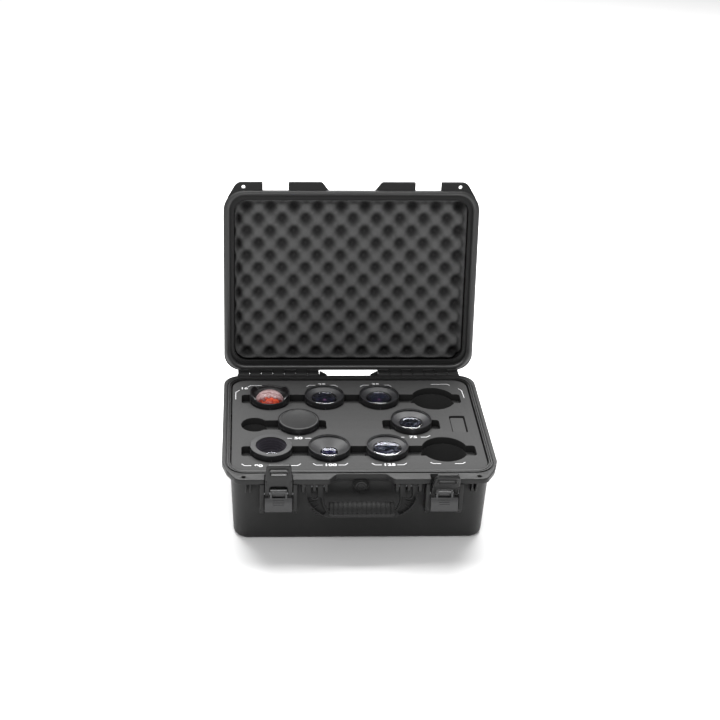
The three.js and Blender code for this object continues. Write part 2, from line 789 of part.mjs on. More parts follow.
function frontGlass({ length, window, sunk, bulge }) {
  const edge = length - sunk;
  return turned([
    [0, edge - 7 + GAP],
    [window, edge - 7 + GAP],
    [window, edge - 1],
    [window * 0.7, edge - 1 + bulge * 0.6],
    [0, edge - 1 + bulge],
  ]);
}

function addLens(lens) {
  const group = placed(model, lens.x * COLUMN, ROWS[lens.row], RING_TOP - lens.length);
  part(`${lens.name}_barrel`, 'lens_black', lensBarrel(lens), group);
  part(
    `${lens.name}_focus_ring`,
    'lens_ring',
    lensRing(RING_RADIUS - 0.3, lens.length - 47, lens.length - 15 - GAP),
    group,
  );
  part(
    `${lens.name}_iris_ring`,
    'lens_ring',
    lensRing(RING_RADIUS - 1.5, lens.length - 67, lens.length - 52),
    group,
  );
  part(`${lens.name}_front_glass`, 'lens_glass', frontGlass(lens), group);
  if (lens.capped) {
    const top = lens.length - 0.4;
    part('lens_cap', 'lens_cap', bar(ALONG_Z, 0, 0, 36.9, top - CAP_THICK, top, LENS_SIDES), group);
  }
}

// ---------------------------------------------------------------- assembly

part('base_shell', 'case_plastic', baseShell());
for (const [label, side] of [['left', -1], ['right', 1]]) {
  const ends = [side * (HINGE_INNER - 1.5), side * (HINGE_INNER + HINGE_LENGTH + 1.5)];
  ends.sort((a, b) => a - b);
  part(`hinge_pin_${label}`, 'pin_steel', bar(ALONG_X, HINGE_Y, HINGE_Z, HINGE_PIN_RADIUS, ...ends));
}

const lid = placed(model, 0, HINGE_Y, HINGE_Z, -LID_OPEN);
const hinge = { x: 0, y: HINGE_Y, z: HINGE_Z };
part('lid_shell', 'case_plastic', lidShell(), lid, hinge);
part('lid_gasket', 'rubber', lidGasket(), lid, hinge);
part('lid_foam', 'lid_foam', lidFoam(), lid, hinge);

addLatch(-1, 'left', LEFT_HOOK_TILT);
addLatch(1, 'right', RIGHT_HOOK_TILT);
addHandle();
addValve();

part('foam_base_pad', 'foam', foamPad());
for (const [row, front, back, seam] of [
  ['front', -RIM_DEPTH, CORE_SEAMS[0], ROW_SEAM],
  ['middle', CORE_SEAMS[0], CORE_SEAMS[1], MIDDLE_SEAM],
  ['back', CORE_SEAMS[1], RIM_DEPTH, ROW_SEAM],
]) {
  part(`foam_core_${row}_left`, 'foam', foamCore(-RIM_WIDTH, seam, front, back));
  part(`foam_core_${row}_right`, 'foam', foamCore(seam, RIM_WIDTH, front, back));
}
part('foam_top_layer', 'foam', foamTopLayer());
part('foam_plug', 'foam', plugBlock(0, PLUG.bottom, PLUG.top));
LENSES.forEach(addLens);

export default model;
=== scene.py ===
"""Look of an open hard case with a set of cinema lenses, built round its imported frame.

Lengths are in millimetres until a mesh is made, where they become metres.
"""

import math

import bmesh
import bpy
from mathutils import Matrix, Vector, noise

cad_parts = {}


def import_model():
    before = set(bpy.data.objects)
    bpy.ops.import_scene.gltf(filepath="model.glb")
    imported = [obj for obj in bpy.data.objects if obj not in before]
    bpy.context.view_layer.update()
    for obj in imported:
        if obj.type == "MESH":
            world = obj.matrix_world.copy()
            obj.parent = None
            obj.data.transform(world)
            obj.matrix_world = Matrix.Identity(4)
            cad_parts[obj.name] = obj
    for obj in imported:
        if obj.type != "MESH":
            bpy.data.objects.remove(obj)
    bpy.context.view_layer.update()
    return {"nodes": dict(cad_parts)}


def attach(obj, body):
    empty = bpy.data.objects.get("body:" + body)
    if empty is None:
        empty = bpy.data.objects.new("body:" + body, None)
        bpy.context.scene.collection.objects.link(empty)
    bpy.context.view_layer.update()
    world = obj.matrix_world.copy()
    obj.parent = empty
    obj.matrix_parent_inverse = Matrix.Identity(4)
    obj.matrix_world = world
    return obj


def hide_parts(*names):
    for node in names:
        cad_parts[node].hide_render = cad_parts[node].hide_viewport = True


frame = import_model()
nodes = frame["nodes"]

MM = 0.001
TAU = 2 * math.pi

# ------------------------------------------------------------------ sizes shared with the frame

RIM_Z = 150.0
FLANGE = 11.0
DRAFT = 0.043
HINGE = Vector((0.0, 206.0, 145.5))
LID_OPEN = math.radians(99.5)
LATCH_X = 152.75
LATCH_PIN = Vector((0.0, -195.9, 118.0))
GRIP_CENTRE = -44.0
HINGE_RADIUS = 7.2
KNUCKLES = 7
HANDLE_PIVOT = Vector((0.0, -190.0, 131.5))
HANDLE_TILT = math.radians(-28)
VALVE_Z = 124.5
FOAM_TOP = 146.0
FOAM_LAYER = 15.0
POCKET = 41.3
EMPTY_POCKET = 44.0
EMPTY_SHIFT = 3.0
ROW_Y = {"back": 104.0, "middle": 7.0, "front": -90.0}
COLUMN = 110.0
RING_TOP = 158.0

# plans of the case: left, right, front, back, corner radius
BODY = (-242.5, 242.5, -175.3, 190.0, 36.0)
TONGUE = (-248.0, 248.0, -174.0, 188.5, 35.0)
WELL = (-242.0, 242.0, -163.0, 184.5, 30.0)
LID_MOUTH = (-236.0, 236.0, -161.0, 176.0, 26.0)

WALL = 4.0
LID_LOW = RIM_Z + 0.6  # underside of the closed lid's rim
VALVE_SEAT = 170.0
KNUCKLE_START = 61.0
KNUCKLE_SPAN = 168.0
KNUCKLE_GAP = 0.5
LATCH_RIB = 30.5  # from a latch's middle to each rib beside it
PIECE_GAP = 0.3
SMALL_POCKET = (-195.7, 6.0, 26.0)  # x, y, radius
SLOT_HALF = 17.5
SLOT_CORNER = 6.0
PLUG_HOLE = (188.3, 218.3, -24.5, 37.5)  # left, right, front, back
CORE_LOW = 20.0
CUT_TOP = 160.0  # above the foam, where the tools that cut it end

# ------------------------------------------------------------------ sizes of the look alone

GRIP_RADIUS = 14.0
GRIP_RIB = 8.8

EGG_PITCH = (47.8, 51.6)  # from peak to peak, across and up the lid
EGG_PHASE = (210.3, 33.5)
EGG_PEAK = 167.2
EGG_DEPTH = 22.0
EGG_BACK = 195.2
EGG_GRID = (196, 148)

FIGURE_SIZE = 8.0 * 1.4
FIGURE_STRETCH = 1.4
STROKE = 1.3

RING_RADIUS = 40.0
BORE_RADIUS = 34.9
RING_EASE = 0.6

LENSES = [
    # name, column, row, length, window, sunk, bulge, look
    ("lens_16", -1.5, "back", 126, 28.5, 14, 21, "bulb"),
    ("lens_25", -0.5, "back", 108, 25.0, 9, 4, "blue"),
    ("lens_35", 0.5, "back", 108, 25.0, 9, 4, "blue"),
    ("lens_50", -1.0, "middle", 108, 24.0, 13, 3, "blue"),
    ("lens_75", 1.0, "middle", 108, 22.5, 10, 3, "clear"),
    ("lens_90", -1.5, "front", 120, 19.0, 26, 2, "deep"),
    ("lens_100", -0.5, "front", 114, 16.5, 15, 2, "small"),
    ("lens_125", 0.5, "front", 122, 27.5, 9, 3, "clear"),
]

# ------------------------------------------------------------------ materials


def new_material(name):
    mat = bpy.data.materials.new(name)
    mat.use_nodes = True
    return mat, mat.node_tree.nodes, mat.node_tree.links


def set_inputs(node, **values):
    """Sets a node's inputs by name. An underscore stands for a space."""
    for name, value in values.items():
        node.inputs[name.replace("_", " ")].default_value = value


def add_node(n, kind, operation=None, **values):
    """A new shader node with its inputs set."""
    node = n.new("ShaderNode" + kind)
    if operation:
        node.operation = operation
    set_inputs(node, **values)
    return node


def color_ramp(n, stops):
    """A colour ramp through (position, colour) stops."""
    ramp = n.new("ShaderNodeValToRGB")
    marks = ramp.color_ramp.elements
    marks[0].position, marks[0].color = stops[0][0], (*stops[0][1], 1)
    marks[1].position, marks[1].color = stops[-1][0], (*stops[-1][1], 1)
    for position, color in stops[1:-1]:
        marks.new(position).color = (*color, 1)
    return ramp


def material(
    name, color, rough, metal=0.0, grain=0.0, grain_size=900.0, shade=0.0, shade_size=60.0,
    rough_spread=0.0, specular=0.5,
):
    """A principled surface with procedural grain, blotches of shade and an uneven gloss."""
    mat, n, links = new_material(name)
    surface = n["Principled BSDF"]
    set_inputs(
        surface, Base_Color=(*color, 1), Roughness=rough, Metallic=metal, Specular_IOR_Level=specular,
    )
    place = n.new("ShaderNodeTexCoord").outputs["Object"]
    if grain:
        fine = add_node(n, "TexNoise", Scale=grain_size, Detail=3.0)
        bump = add_node(n, "Bump", Strength=grain, Distance=0.0006)
        links.new(place, fine.inputs["Vector"])
        links.new(fine.outputs["Fac"], bump.inputs["Height"])
        links.new(bump.outputs["Normal"], surface.inputs["Normal"])
    if shade or rough_spread:
        broad = add_node(n, "TexNoise", Scale=shade_size, Detail=5.0, Roughness=0.65)
        links.new(place, broad.inputs["Vector"])
    if shade:
        darker = [c * (1 - shade) for c in color]
        lighter = [c * (1 + shade) for c in color]
        ramp = color_ramp(n, [(0.3, darker), (0.7, lighter)])
        links.new(broad.outputs["Fac"], ramp.inputs["Fac"])
        links.new(ramp.outputs["Color"], surface.inputs["Base Color"])
    if rough_spread:
        glossy = max(0.02, rough - rough_spread)
        span = add_node(n, "MapRange", To_Min=glossy, To_Max=min(1.0, rough + rough_spread))
        links.new(broad.outputs["Fac"], span.inputs["Value"])
        links.new(span.outputs["Result"], surface.inputs["Roughness"])
    return mat


def grey(level):
    return (level, level, level)


MOULDED = dict(grain=0.2, grain_size=1200, rough_spread=0.05)
SATIN = dict(grain=0.1, grain_size=1600, rough_spread=0.05)
CELLS = dict(grain=0.8, grain_size=1100, shade=0.12, shade_size=900)

CASE = material(
    "case_plastic", grey(0.022), 0.42, grain=0.35, grain_size=1500, rough_spread=0.06, specular=0.2,
)
RIM = material("case_rim", grey(0.022), 0.30, grain=0.3, grain_size=1500, rough_spread=0.05, specular=0.8)
LATCH = material("latch_plastic", grey(0.012), 0.36, specular=0.35, **MOULDED)
LEVER = material("lever_plastic", (0.040, 0.040, 0.041), 0.42, **MOULDED)
RUBBER = material(
    "grip_rubber", grey(0.010), 0.7, grain=0.5, grain_size=800, rough_spread=0.05, specular=0.3,
)
SEAL = material("seal_rubber", grey(0.012), 0.6, grain=0.2)
STEEL = material(
    "pin_steel", (0.16, 0.16, 0.165), 0.36, metal=1.0, rough_spread=0.08, shade=0.1, shade_size=300,
)
FOAM = material("foam", grey(0.072), 0.95, specular=0.2, **CELLS)
CUT_FOAM = material("foam_cut", grey(0.069), 0.95, specular=0.1, **CELLS)
CORE = material("foam_core", grey(0.048), 0.95, specular=0.15, **CELLS)
EGG = material("lid_foam", grey(0.118), 1.0, grain=0.9, shade=0.2, shade_size=700, specular=0.1)
PRINT = material("print", (0.78, 0.78, 0.79), 0.6, grain=0.1, shade=0.03)
# A light grey for the index line's print, and for the painted highlight on the lens cap's rim.
FAINT_MARK_AND_HIGHLIGHT = material("faint_mark_and_painted_highlight", grey(0.16), 0.5, grain=0.1)
ANODISED = material("lens_black", (0.011, 0.011, 0.012), 0.34, **SATIN)
RING = material("lens_ring", (0.014, 0.014, 0.015), 0.4, grain=0.15, grain_size=1500, rough_spread=0.05)
BEVEL = material("lens_bevel", (0.017, 0.017, 0.019), 0.42, **SATIN)
BORE = material("lens_bore", (0.034, 0.031, 0.04), 0.5, specular=0.2, **SATIN)
PALE = material("lens_pale_face", (0.018, 0.018, 0.019), 0.45, **SATIN)
CAP = material("lens_cap", grey(0.018), 0.4, grain=0.3, grain_size=1800, rough_spread=0.05)


def paint_shade(mat, kind, dark, low, high):
    """Paints shade into a material's colour: multiplies it, from dark up to 1, by ambient occlusion for kind
    'open' (painted shade in hollows) or by how upward its surface faces for kind 'level' (painted shade on
    steep sides).
    """
    n, links = mat.node_tree.nodes, mat.node_tree.links
    base = n["Principled BSDF"].inputs["Base Color"]
    if kind == "open":
        source = add_node(n, "AmbientOcclusion", Distance=0.03)
        source.samples = 6
        value = source.outputs["AO"]
    else:
        split = n.new("ShaderNodeSeparateXYZ")
        links.new(n.new("ShaderNodeNewGeometry").outputs["Normal"], split.inputs["Vector"])
        value = split.outputs["Z"]
    span = add_node(n, "MapRange", From_Min=low, From_Max=high, To_Min=dark)
    mix = add_node(n, "VectorMath", "SCALE")
    links.new(value, span.inputs["Value"])
    links.new(base.links[0].from_socket, mix.inputs[0])
    links.new(span.outputs["Result"], mix.inputs["Scale"])
    links.new(mix.outputs["Vector"], base)


# Painted shade: the top foam's steep faces, such as pocket and slot walls, get a darker colour.
paint_shade(CUT_FOAM, "level", 0.36, 0.2, 0.75)
# Painted shade: the lid foam's pits get a darker colour by ambient occlusion.
paint_shade(EGG, "open", 0.13, 0.27, 0.93)


def glass_material(name, color):
    """Clear glass with a tinted coating."""
    mat, n, _ = new_material(name)
    surface = n["Principled BSDF"]
    set_inputs(surface, Base_Color=(*color, 1), Roughness=0.03, IOR=1.5, Transmission_Weight=1.0)
    set_inputs(surface, Coat_Weight=0.5, Coat_Roughness=0.02)
    return mat


def element_material(name, stops, focus, spread, facets=0.0, facet_size=160.0, gloss=1.0):
    """An inner element seen as bands of colour round a focus point, broken into facets. The stops give the
    coating's dark colour, and their lighter bands are painted reflections and highlights.

    stops are (position, colour) from the focus outward; focus is (x, y) in mm from the lens's axis.
    """
    mat, n, links = new_material(name)
    surface = n["Principled BSDF"]
    set_inputs(surface, Roughness=0.14, Metallic=0.4, Coat_Weight=gloss, Coat_Roughness=0.03)
    place = n.new("ShaderNodeTexCoord").outputs["Object"]
    centre = add_node(
        n, "Mapping", Location=(-focus[0] / spread, -focus[1] / spread, 0.0),
        Scale=(1000 / spread, 1000 / spread, 0.0),
    )
    length = add_node(n, "VectorMath", "LENGTH")
    links.new(place, centre.inputs["Vector"])
    links.new(centre.outputs["Vector"], length.inputs[0])
    value = length.outputs["Value"]
    if facets:
        cells = add_node(n, "TexVoronoi", Scale=facet_size)
        split = n.new("ShaderNodeSeparateColor")
        level = add_node(n, "Math", "MULTIPLY_ADD")
        level.inputs[1].default_value = facets
        links.new(place, cells.inputs["Vector"])
        links.new(cells.outputs["Color"], split.inputs["Color"])
        links.new(split.outputs["Red"], level.inputs[0])
        links.new(value, level.inputs[2])
        value = level.outputs["Value"]
    ramp = color_ramp(n, stops)
    links.new(value, ramp.inputs["Fac"])
    links.new(ramp.outputs["Color"], surface.inputs["Base Color"])
    return mat


def bulb_material():
    """The wide lens's domed front as painted coating reflections: red-orange bands, some bright, at its near
    side, pale pink bands beyond.
    """
    mat, n, links = new_material("coating_red_painted_reflections")
    surface = n["Principled BSDF"]
    set_inputs(surface, Roughness=0.3, Specular_IOR_Level=0.25, Coat_Weight=0.12, Coat_Roughness=0.03)
    place = n.new("ShaderNodeTexCoord").outputs["Object"]
    axes = n.new("ShaderNodeSeparateXYZ")
    patches = add_node(n, "TexNoise", Scale=130.0, Detail=2.0)
    wobble = add_node(n, "Math", "MULTIPLY_ADD")
    wobble.inputs[1].default_value = 0.022
    across = add_node(n, "MapRange", From_Min=-0.025, From_Max=0.026)
    # Painted reflections: bright and dark red-orange bands on the near side, pale pink bands beyond, split
    # along Y and broken by noise.
    near_side = [
        (0.0, (0.10, 0.008, 0.006)), (0.10, (0.55, 0.05, 0.015)), (0.20, (0.28, 0.012, 0.008)),
        (0.30, (0.60, 0.08, 0.03)), (0.36, (0.14, 0.012, 0.012)),
    ]
    far_side = [
        (0.42, (0.20, 0.10, 0.10)), (0.55, (0.40, 0.27, 0.27)), (0.62, (0.20, 0.11, 0.11)),
        (0.72, (0.46, 0.34, 0.34)), (0.85, (0.30, 0.2, 0.2)), (1.0, (0.20, 0.12, 0.12)),
    ]
    ramp = color_ramp(n, near_side + far_side)
    links.new(place, axes.inputs["Vector"])
    links.new(place, patches.inputs["Vector"])
    links.new(patches.outputs["Fac"], wobble.inputs[0])
    links.new(axes.outputs["Y"], wobble.inputs[2])
    links.new(wobble.outputs["Value"], across.inputs["Value"])
    links.new(across.outputs["Result"], ramp.inputs["Fac"])
    links.new(ramp.outputs["Color"], surface.inputs["Base Color"])
    return mat


GLASS = glass_material("front_glass", (0.92, 0.93, 1.0))
BULB = bulb_material()
NIGHT = (0.006, 0.009, 0.03)
# Inner elements' coating colours. The blue, clear and small looks also carry painted reflections and
# highlights.
COATING_AND_REFLECTIONS = {
    "bulb": element_material("coating_bulb", [(0.0, NIGHT), (1.0, NIGHT)], (0, 0), 27.0),
    # Painted highlight: a pink-purple spot in front of the axis. The lighter outer edge is a painted
    # reflection on the navy coating.
    "blue": element_material(
        "coating_blue_painted_reflections",
        [
            (0.0, (0.5, 0.3, 0.42)), (0.14, (0.14, 0.04, 0.13)), (0.26, (0.012, 0.01, 0.035)),
            (0.7, (0.012, 0.016, 0.045)), (0.88, (0.012, 0.014, 0.04)), (1.0, (0.05, 0.05, 0.08)),
        ],
        (0, -8), 26.0, facets=0.16, facet_size=260.0,
    ),
    # Painted reflections: a bright ring broken into light patches, over a dark coating.
    "clear": element_material(
        "coating_clear_painted_reflections",
        [
            (0.0, (0.04, 0.05, 0.06)), (0.30, (0.008, 0.01, 0.02)), (0.55, (0.02, 0.03, 0.05)),
            (0.68, (0.12, 0.13, 0.16)), (0.73, (0.30, 0.30, 0.35)), (0.76, (0.02, 0.02, 0.035)),
            (1.0, (0.06, 0.06, 0.09)),
        ],
        (0, 9), 36.0, facets=0.5, facet_size=190.0, gloss=0.4,
    ),
    # Painted reflection: a pale ring and a lighter outer edge, over a dark blue coating.
    "small": element_material(
        "coating_dark_painted_reflections",
        [
            (0.0, (0.02, 0.02, 0.10)), (0.5, (0.02, 0.016, 0.07)), (0.76, (0.16, 0.16, 0.22)),
            (0.8, (0.03, 0.03, 0.06)), (1.0, (0.10, 0.09, 0.18)),
        ],
        (0, 4), 22.0, facets=0.3, facet_size=260.0, gloss=0.4,
    ),
    "deep": element_material(
        "coating_black", [(0.0, (0.005, 0.005, 0.02)), (1.0, (0.012, 0.010, 0.02))], (0, 0), 20.0,
    ),
}
BEVELS = {"bulb": ANODISED, "blue": BEVEL, "clear": BEVEL, "small": PALE, "deep": BORE}

# ------------------------------------------------------------------ meshes

IDENTITY = Matrix.Identity(4)
ALONG_X = Matrix(((0, 0, 1, 0), (1, 0, 0, 0), (0, 1, 0, 0), (0, 0, 0, 1)))  # outline in (y, z)
ALONG_Y = Matrix(((1, 0, 0, 0), (0, 0, -1, 0), (0, 1, 0, 0), (0, 0, 0, 1)))  # outline in (x, z)


def shift(x, y, z):
    return Matrix.Translation((x, y, z))


def about(pivot, angle):
    """A turn about an axis through pivot, parallel to X."""
    return shift(*pivot) @ Matrix.Rotation(angle, 4, "X") @ shift(*(-pivot))


def box_shape(x0, x1, y0, y1, z0, z1):
    """A cuboid as a bmesh."""
    bm = bmesh.new()
    bmesh.ops.create_cube(bm, size=1.0)
    bm.transform(
        shift((x0 + x1) / 2, (y0 + y1) / 2, (z0 + z1) / 2)
        @ Matrix.Diagonal((x1 - x0, y1 - y0, z1 - z0, 1))
    )
    return bm


def soft_box(x0, x1, y0, y1, z0, z1, bevel=1.0, segments=2):
    """A cuboid with rounded edges."""
    bm = box_shape(x0, x1, y0, y1, z0, z1)
    bmesh.ops.bevel(bm, geom=bm.edges[:], offset=bevel, segments=segments, affect="EDGES", profile=0.5)
    return bm


def signed_area(loop):
    return sum(a[0] * b[1] - b[0] * a[1] for a, b in zip(loop, loop[1:] + loop[:1])) / 2


def solid_of(curve):
    """A curve's mesh as a bmesh. The curve is used up."""
    holder = bpy.data.objects.new("outline", curve)
    mesh = bpy.data.meshes.new_from_object(holder)
    bm = bmesh.new()
    bm.from_mesh(mesh)
    bpy.data.objects.remove(holder)
    bpy.data.curves.remove(curve)
    bpy.data.meshes.remove(mesh)
    return bm


def slab(loops, low, high, bevel=0.0, segments=2, matrix=IDENTITY):
    """A flat outline with holes, thickened from low to high, its rims rounded by bevel."""
    curve = bpy.data.curves.new("outline", "CURVE")
    curve.dimensions = "2D"
    curve.fill_mode = "BOTH"
    for i, loop in enumerate(loops):
        if (signed_area(loop) > 0) != (i == 0):
            loop = loop[::-1]
        spline = curve.splines.new("POLY")
        spline.points.add(len(loop) - 1)
        for point, (x, y) in zip(spline.points, loop):
            point.co = (x, y, 0, 1)
        spline.use_cyclic_u = True
    curve.extrude = (high - low) / 2 - bevel
    curve.bevel_depth = bevel
    curve.bevel_resolution = max(0, segments - 1)
    curve.offset = -bevel
    bm = solid_of(curve)
    bmesh.ops.remove_doubles(bm, verts=bm.verts, dist=0.002)
    bm.transform(matrix @ shift(0, 0, (low + high) / 2))
    return bm


def fin(outline, x, half, bevel, segments=2):
    """An outline in (y, z), thickened by half to each side of x."""
    return slab([outline], x - half, x + half, bevel, segments, ALONG_X)


def loft(rings, cap_first=True, cap_last=True, closed=False):
    """Skin through rings of equally many (x, y, z) points."""
    bm = bmesh.new()
    rows = [[bm.verts.new(p) for p in ring] for ring in rings]
    pairs = list(zip(rows, rows[1:])) + ([(rows[-1], rows[0])] if closed else [])
    for a, b in pairs:
        for i in range(len(a)):
            j = (i + 1) % len(a)
            bm.faces.new((a[i], a[j], b[j], b[i]))
    if cap_first and not closed:
        bm.faces.new(rows[0][::-1])
    if cap_last and not closed:
        bm.faces.new(rows[-1])
    bmesh.ops.recalc_face_normals(bm, faces=bm.faces)
    return bm


def lathe(profile, segments=72, closed=True, matrix=IDENTITY):
    """A (radius, height) profile turned about Z. Points on the axis become poles."""
    bm = bmesh.new()
    rows = []
    for r, z in profile:
        if r < 1e-6:
            rows.append([bm.verts.new((0, 0, z))])
        else:
            rows.append([bm.verts.new((x, y, z)) for x, y in circle(0, 0, r, segments)])
    pairs = list(zip(rows, rows[1:])) + ([(rows[-1], rows[0])] if closed else [])
    for a, b in pairs:
        for i in range(segments):
            j = (i + 1) % segments
            corners = [a[i % len(a)], a[j % len(a)], b[j % len(b)], b[i % len(b)]]
            unique = list(dict.fromkeys(corners))
            if len(unique) > 2:
                bm.faces.new(unique)
    bmesh.ops.recalc_face_normals(bm, faces=bm.faces)
    bm.transform(matrix)
    return bm


def rod(axis_matrix, u, v, radius, low, high, bevel=0.4, segments=24):
    """A round bar along an axis, with eased ends."""
    profile = [(0, low), (radius - bevel, low), (radius, low + bevel)]
    profile += [(radius, high - bevel), (radius - bevel, high), (0, high)]
    return lathe(profile, segments, closed=False, matrix=axis_matrix @ shift(u, v, 0))


def rounded(corners, steps=6):
    """An outline through (x, y, radius) corners, each rounded by its own radius."""
    points = []
    count = len(corners)
    for i, (x, y, r) in enumerate(corners):
        if r <= 0:
            points.append((x, y))
            continue
        p = Vector((x, y))
        u = (Vector(corners[i - 1][:2]) - p).normalized()
        v = (Vector(corners[(i + 1) % count][:2]) - p).normalized()
        half = u.angle(v) / 2
        c = p + (u + v).normalized() * (r / math.sin(half))
        s = p + u * (r / math.tan(half)) - c
        e = p + v * (r / math.tan(half)) - c
        start = math.atan2(s.y, s.x)
        sweep = (math.atan2(e.y, e.x) - start + math.pi) % TAU - math.pi
        for k in range(steps + 1):
            a = start + sweep * k / steps
            points.append((c.x + r * math.cos(a), c.y + r * math.sin(a)))
    return points


def rectangle(left, right, front, back, corner, steps=10):
    return rounded(
        [(left, front, corner), (right, front, corner), (right, back, corner), (left, back, corner)], steps
    )


def inset(rect, by):
    left, right, front, back, corner = rect
    return (left + by, right - by, front + by, back - by, max(1.0, corner - by))


def circle(x, y, r, steps=64):
    return [(x + r * math.cos(TAU * i / steps), y + r * math.sin(TAU * i / steps)) for i in range(steps)]


def section(rect, by, z):
    """One ring of a loft: a rounded rectangle moved in by a distance, at a height."""
    return [(x, y, z) for x, y in rectangle(*inset(rect, by))]


def combine(parts, matrix=IDENTITY):
    """Several bmeshes as one."""
    whole = bmesh.new()
    for bm in parts:
        mesh = bpy.data.meshes.new("part")
        bm.to_mesh(mesh)
        whole.from_mesh(mesh)
        bpy.data.meshes.remove(mesh)
        bm.free()
    whole.transform(matrix)
    return whole


def show(name, data):
    """A new object in the scene."""
    obj = bpy.data.objects.new(name, data)
    bpy.context.scene.collection.objects.link(obj)
    return obj


def piece(name, bm, body, mat, replaced=(), smooth=32.0, origin=(0, 0, 0)):
    """Makes a shown piece from a bmesh in millimetres, riding on a body. Its origin can be moved."""
    bm.transform(Matrix.Scale(MM, 4) @ shift(*[-c for c in origin]))
    mesh = bpy.data.meshes.new(name)
    bm.to_mesh(mesh)
    bm.free()
    mesh.materials.append(mat)
    for polygon in mesh.polygons:
        polygon.use_smooth = True
    mesh.set_sharp_from_angle(angle=math.radians(smooth))
    obj = show(name, mesh)
    obj.location = [c * MM for c in origin]
    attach(obj, body)
    if replaced:
        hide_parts(*replaced)
    return obj


def cut_by(bm, tool):
    """bm with tool taken away, by Blender's exact boolean."""
    objs = []
    for shape in (bm, tool):
        mesh = bpy.data.meshes.new("cut")
        shape.to_mesh(mesh)
        shape.free()
        objs.append(show("cut", mesh))
    modifier = objs[0].modifiers.new("cut", "BOOLEAN")
    modifier.operation = "DIFFERENCE"
    modifier.object = objs[1]
    modifier.solver = "EXACT"
    bpy.context.view_layer.update()
    result = bmesh.new()
    result.from_object(objs[0], bpy.context.evaluated_depsgraph_get())
    for obj in objs:
        mesh = obj.data
        bpy.data.objects.remove(obj)
        bpy.data.meshes.remove(mesh)
    return result


# ------------------------------------------------------------------ case shells


def rim_outline():
    """Plan of either rim, with a middle recess and two latch notches in its front edge."""
    half = [
        (46, -180, 9), (60, -198, 8), (127, -198, 2.5), (127, -180, 1.5), (178.5, -180, 1.5),
        (178.5, -198, 2.5), (230, -198, 18), (248.5, -167, 30), (257.5, -136, 40), (257.5, 198, 36),
    ]
    mirrored = [(-x, y, r) for x, y, r in reversed(half)]
    return rounded(half + mirrored, 10)


def wall_rings(rect, levels):
    """Loft rings of a drafted wall: (height, how far in) with the draft added."""
    return [section(rect, by + DRAFT * abs(RIM_Z - z), z) for z, by in levels]


def round_edge(radius, z, up=True, steps=6):
    """(height, inset) levels of a rounded bottom edge, from its flat to its wall."""
    sign = 1 if up else -1
    levels = []
    for k in range(steps + 1):
        a = math.radians(90) * k / steps
        levels.append((z + sign * radius * (1 - math.cos(a)), radius * (1 - math.sin(a))))
    return levels


def padlock_holes():
    return [circle(side * 217, -188, 3.6, 24) for side in (-1, 1)]


def hinge_knuckles(parity, arm):
    """Barrels and arms of one shell's hinge knuckles."""
    made = []
    pitch = KNUCKLE_SPAN / KNUCKLES
    for side in (-1, 1):
        for i in range(parity, KNUCKLES, 2):
            start = KNUCKLE_START + i * pitch + KNUCKLE_GAP / 2
            low, high = sorted((side * start, side * (start + pitch - KNUCKLE_GAP)))
            made.append(rod(ALONG_X, HINGE.y, HINGE.z, HINGE_RADIUS, low, high, 0.7, 28))
            made.append(slab([arm], low, high, 0.7, 2, ALONG_X))
    return made


def base_shell():
    box = inset(TONGUE, -1)
    rings = wall_rings(BODY, round_edge(7, 0, steps=6))
    rings += wall_rings(BODY, [(40, 0), (90, 0), (129, 0)])
    rings += [section(box, 1.2, 130.6), section(box, 0.3, 131.4), section(box, 0, 133)]
    rings += [section(box, 0, 148.6), section(WELL, -0.8, 148.6), section(WELL, 0, 147.8)]
    rings += [section(WELL, 0, 131)]
    rings += wall_rings(BODY, [(130, WALL), (60, WALL)])
    rings += wall_rings(BODY, [(z, by + WALL) for z, by in reversed(round_edge(5, 4.5))])
    parts = [loft(rings)]
    rim_hole = rectangle(*inset(TONGUE, -1.1))
    parts.append(slab([rim_outline(), rim_hole] + padlock_holes(), RIM_Z - FLANGE, RIM_Z, 1.8, 4))
    parts.append(slab([rectangle(*TONGUE), rectangle(*inset(TONGUE, 3))], 146, RIM_Z + 0.9, 0.45, 3))
    ledge = [rectangle(*inset(TONGUE, 5.6)), rectangle(*inset(WELL, 0.2))]
    parts.append(slab(ledge, 146, RIM_Z - 0.4, 0.3, 2))
    parts += front_ribs()
    arm = [(189, 140), (HINGE.y - 2, 140), (HINGE.y + 3, 143), (HINGE.y, 151.2), (199, 148.5), (189, 148.5)]
    parts += hinge_knuckles(0, arm)
    for side in (-1, 1):
        wedge = [
            (side * 45, 143), (side * 60.4, 143), (side * 60.4, 156.5), (side * 57, 156.5),
            (side * 45, 149),
        ]
        parts.append(slab([wedge], -204, -199.2, 0.6, 2, ALONG_Y))
    parts += back_ribs()
    parts.append(valve_boss())
    for side in (-1, 1):
        parts += side_ribs(side)
    return combine(parts)


def front_ribs():
    """Ribs of the latches, lugs of the handle and gussets of the padlock eyes."""
    made = []
    latch = rounded([(-171, 140, 0), (-200, 140, 1.5), (-200, 84, 5), (-191, 71, 4), (-171, 71, 0)], 4)
    for side in (-1, 1):
        for edge in (-1, 1):
            x = side * LATCH_X + edge * LATCH_RIB
            made.append(fin(latch, x, 3.75, 1.0, 3))
    gusset = [(-172, 140), (-194, 140), (-190, 122), (-185, 113), (-172, 110)]
    lug = rounded([(-172, 140, 0), (-198, 140, 1.5), (-198, 120, 7.8), (-182, 117, 5), (-172, 119, 0)], 6)
    for side in (-1, 1):
        for x in (204.5, 212.5):
            made.append(fin(gusset, side * x, 1.4, 0.6))
        for x in (65.6, 87, 107.5):
            made.append(fin(lug, side * x, 2.75, 0.9, 3))
        low, high = sorted((side * 62, side * 111))
        made.append(soft_box(low, high, -198, -178, 138.4, 141, 0.8))
    return made


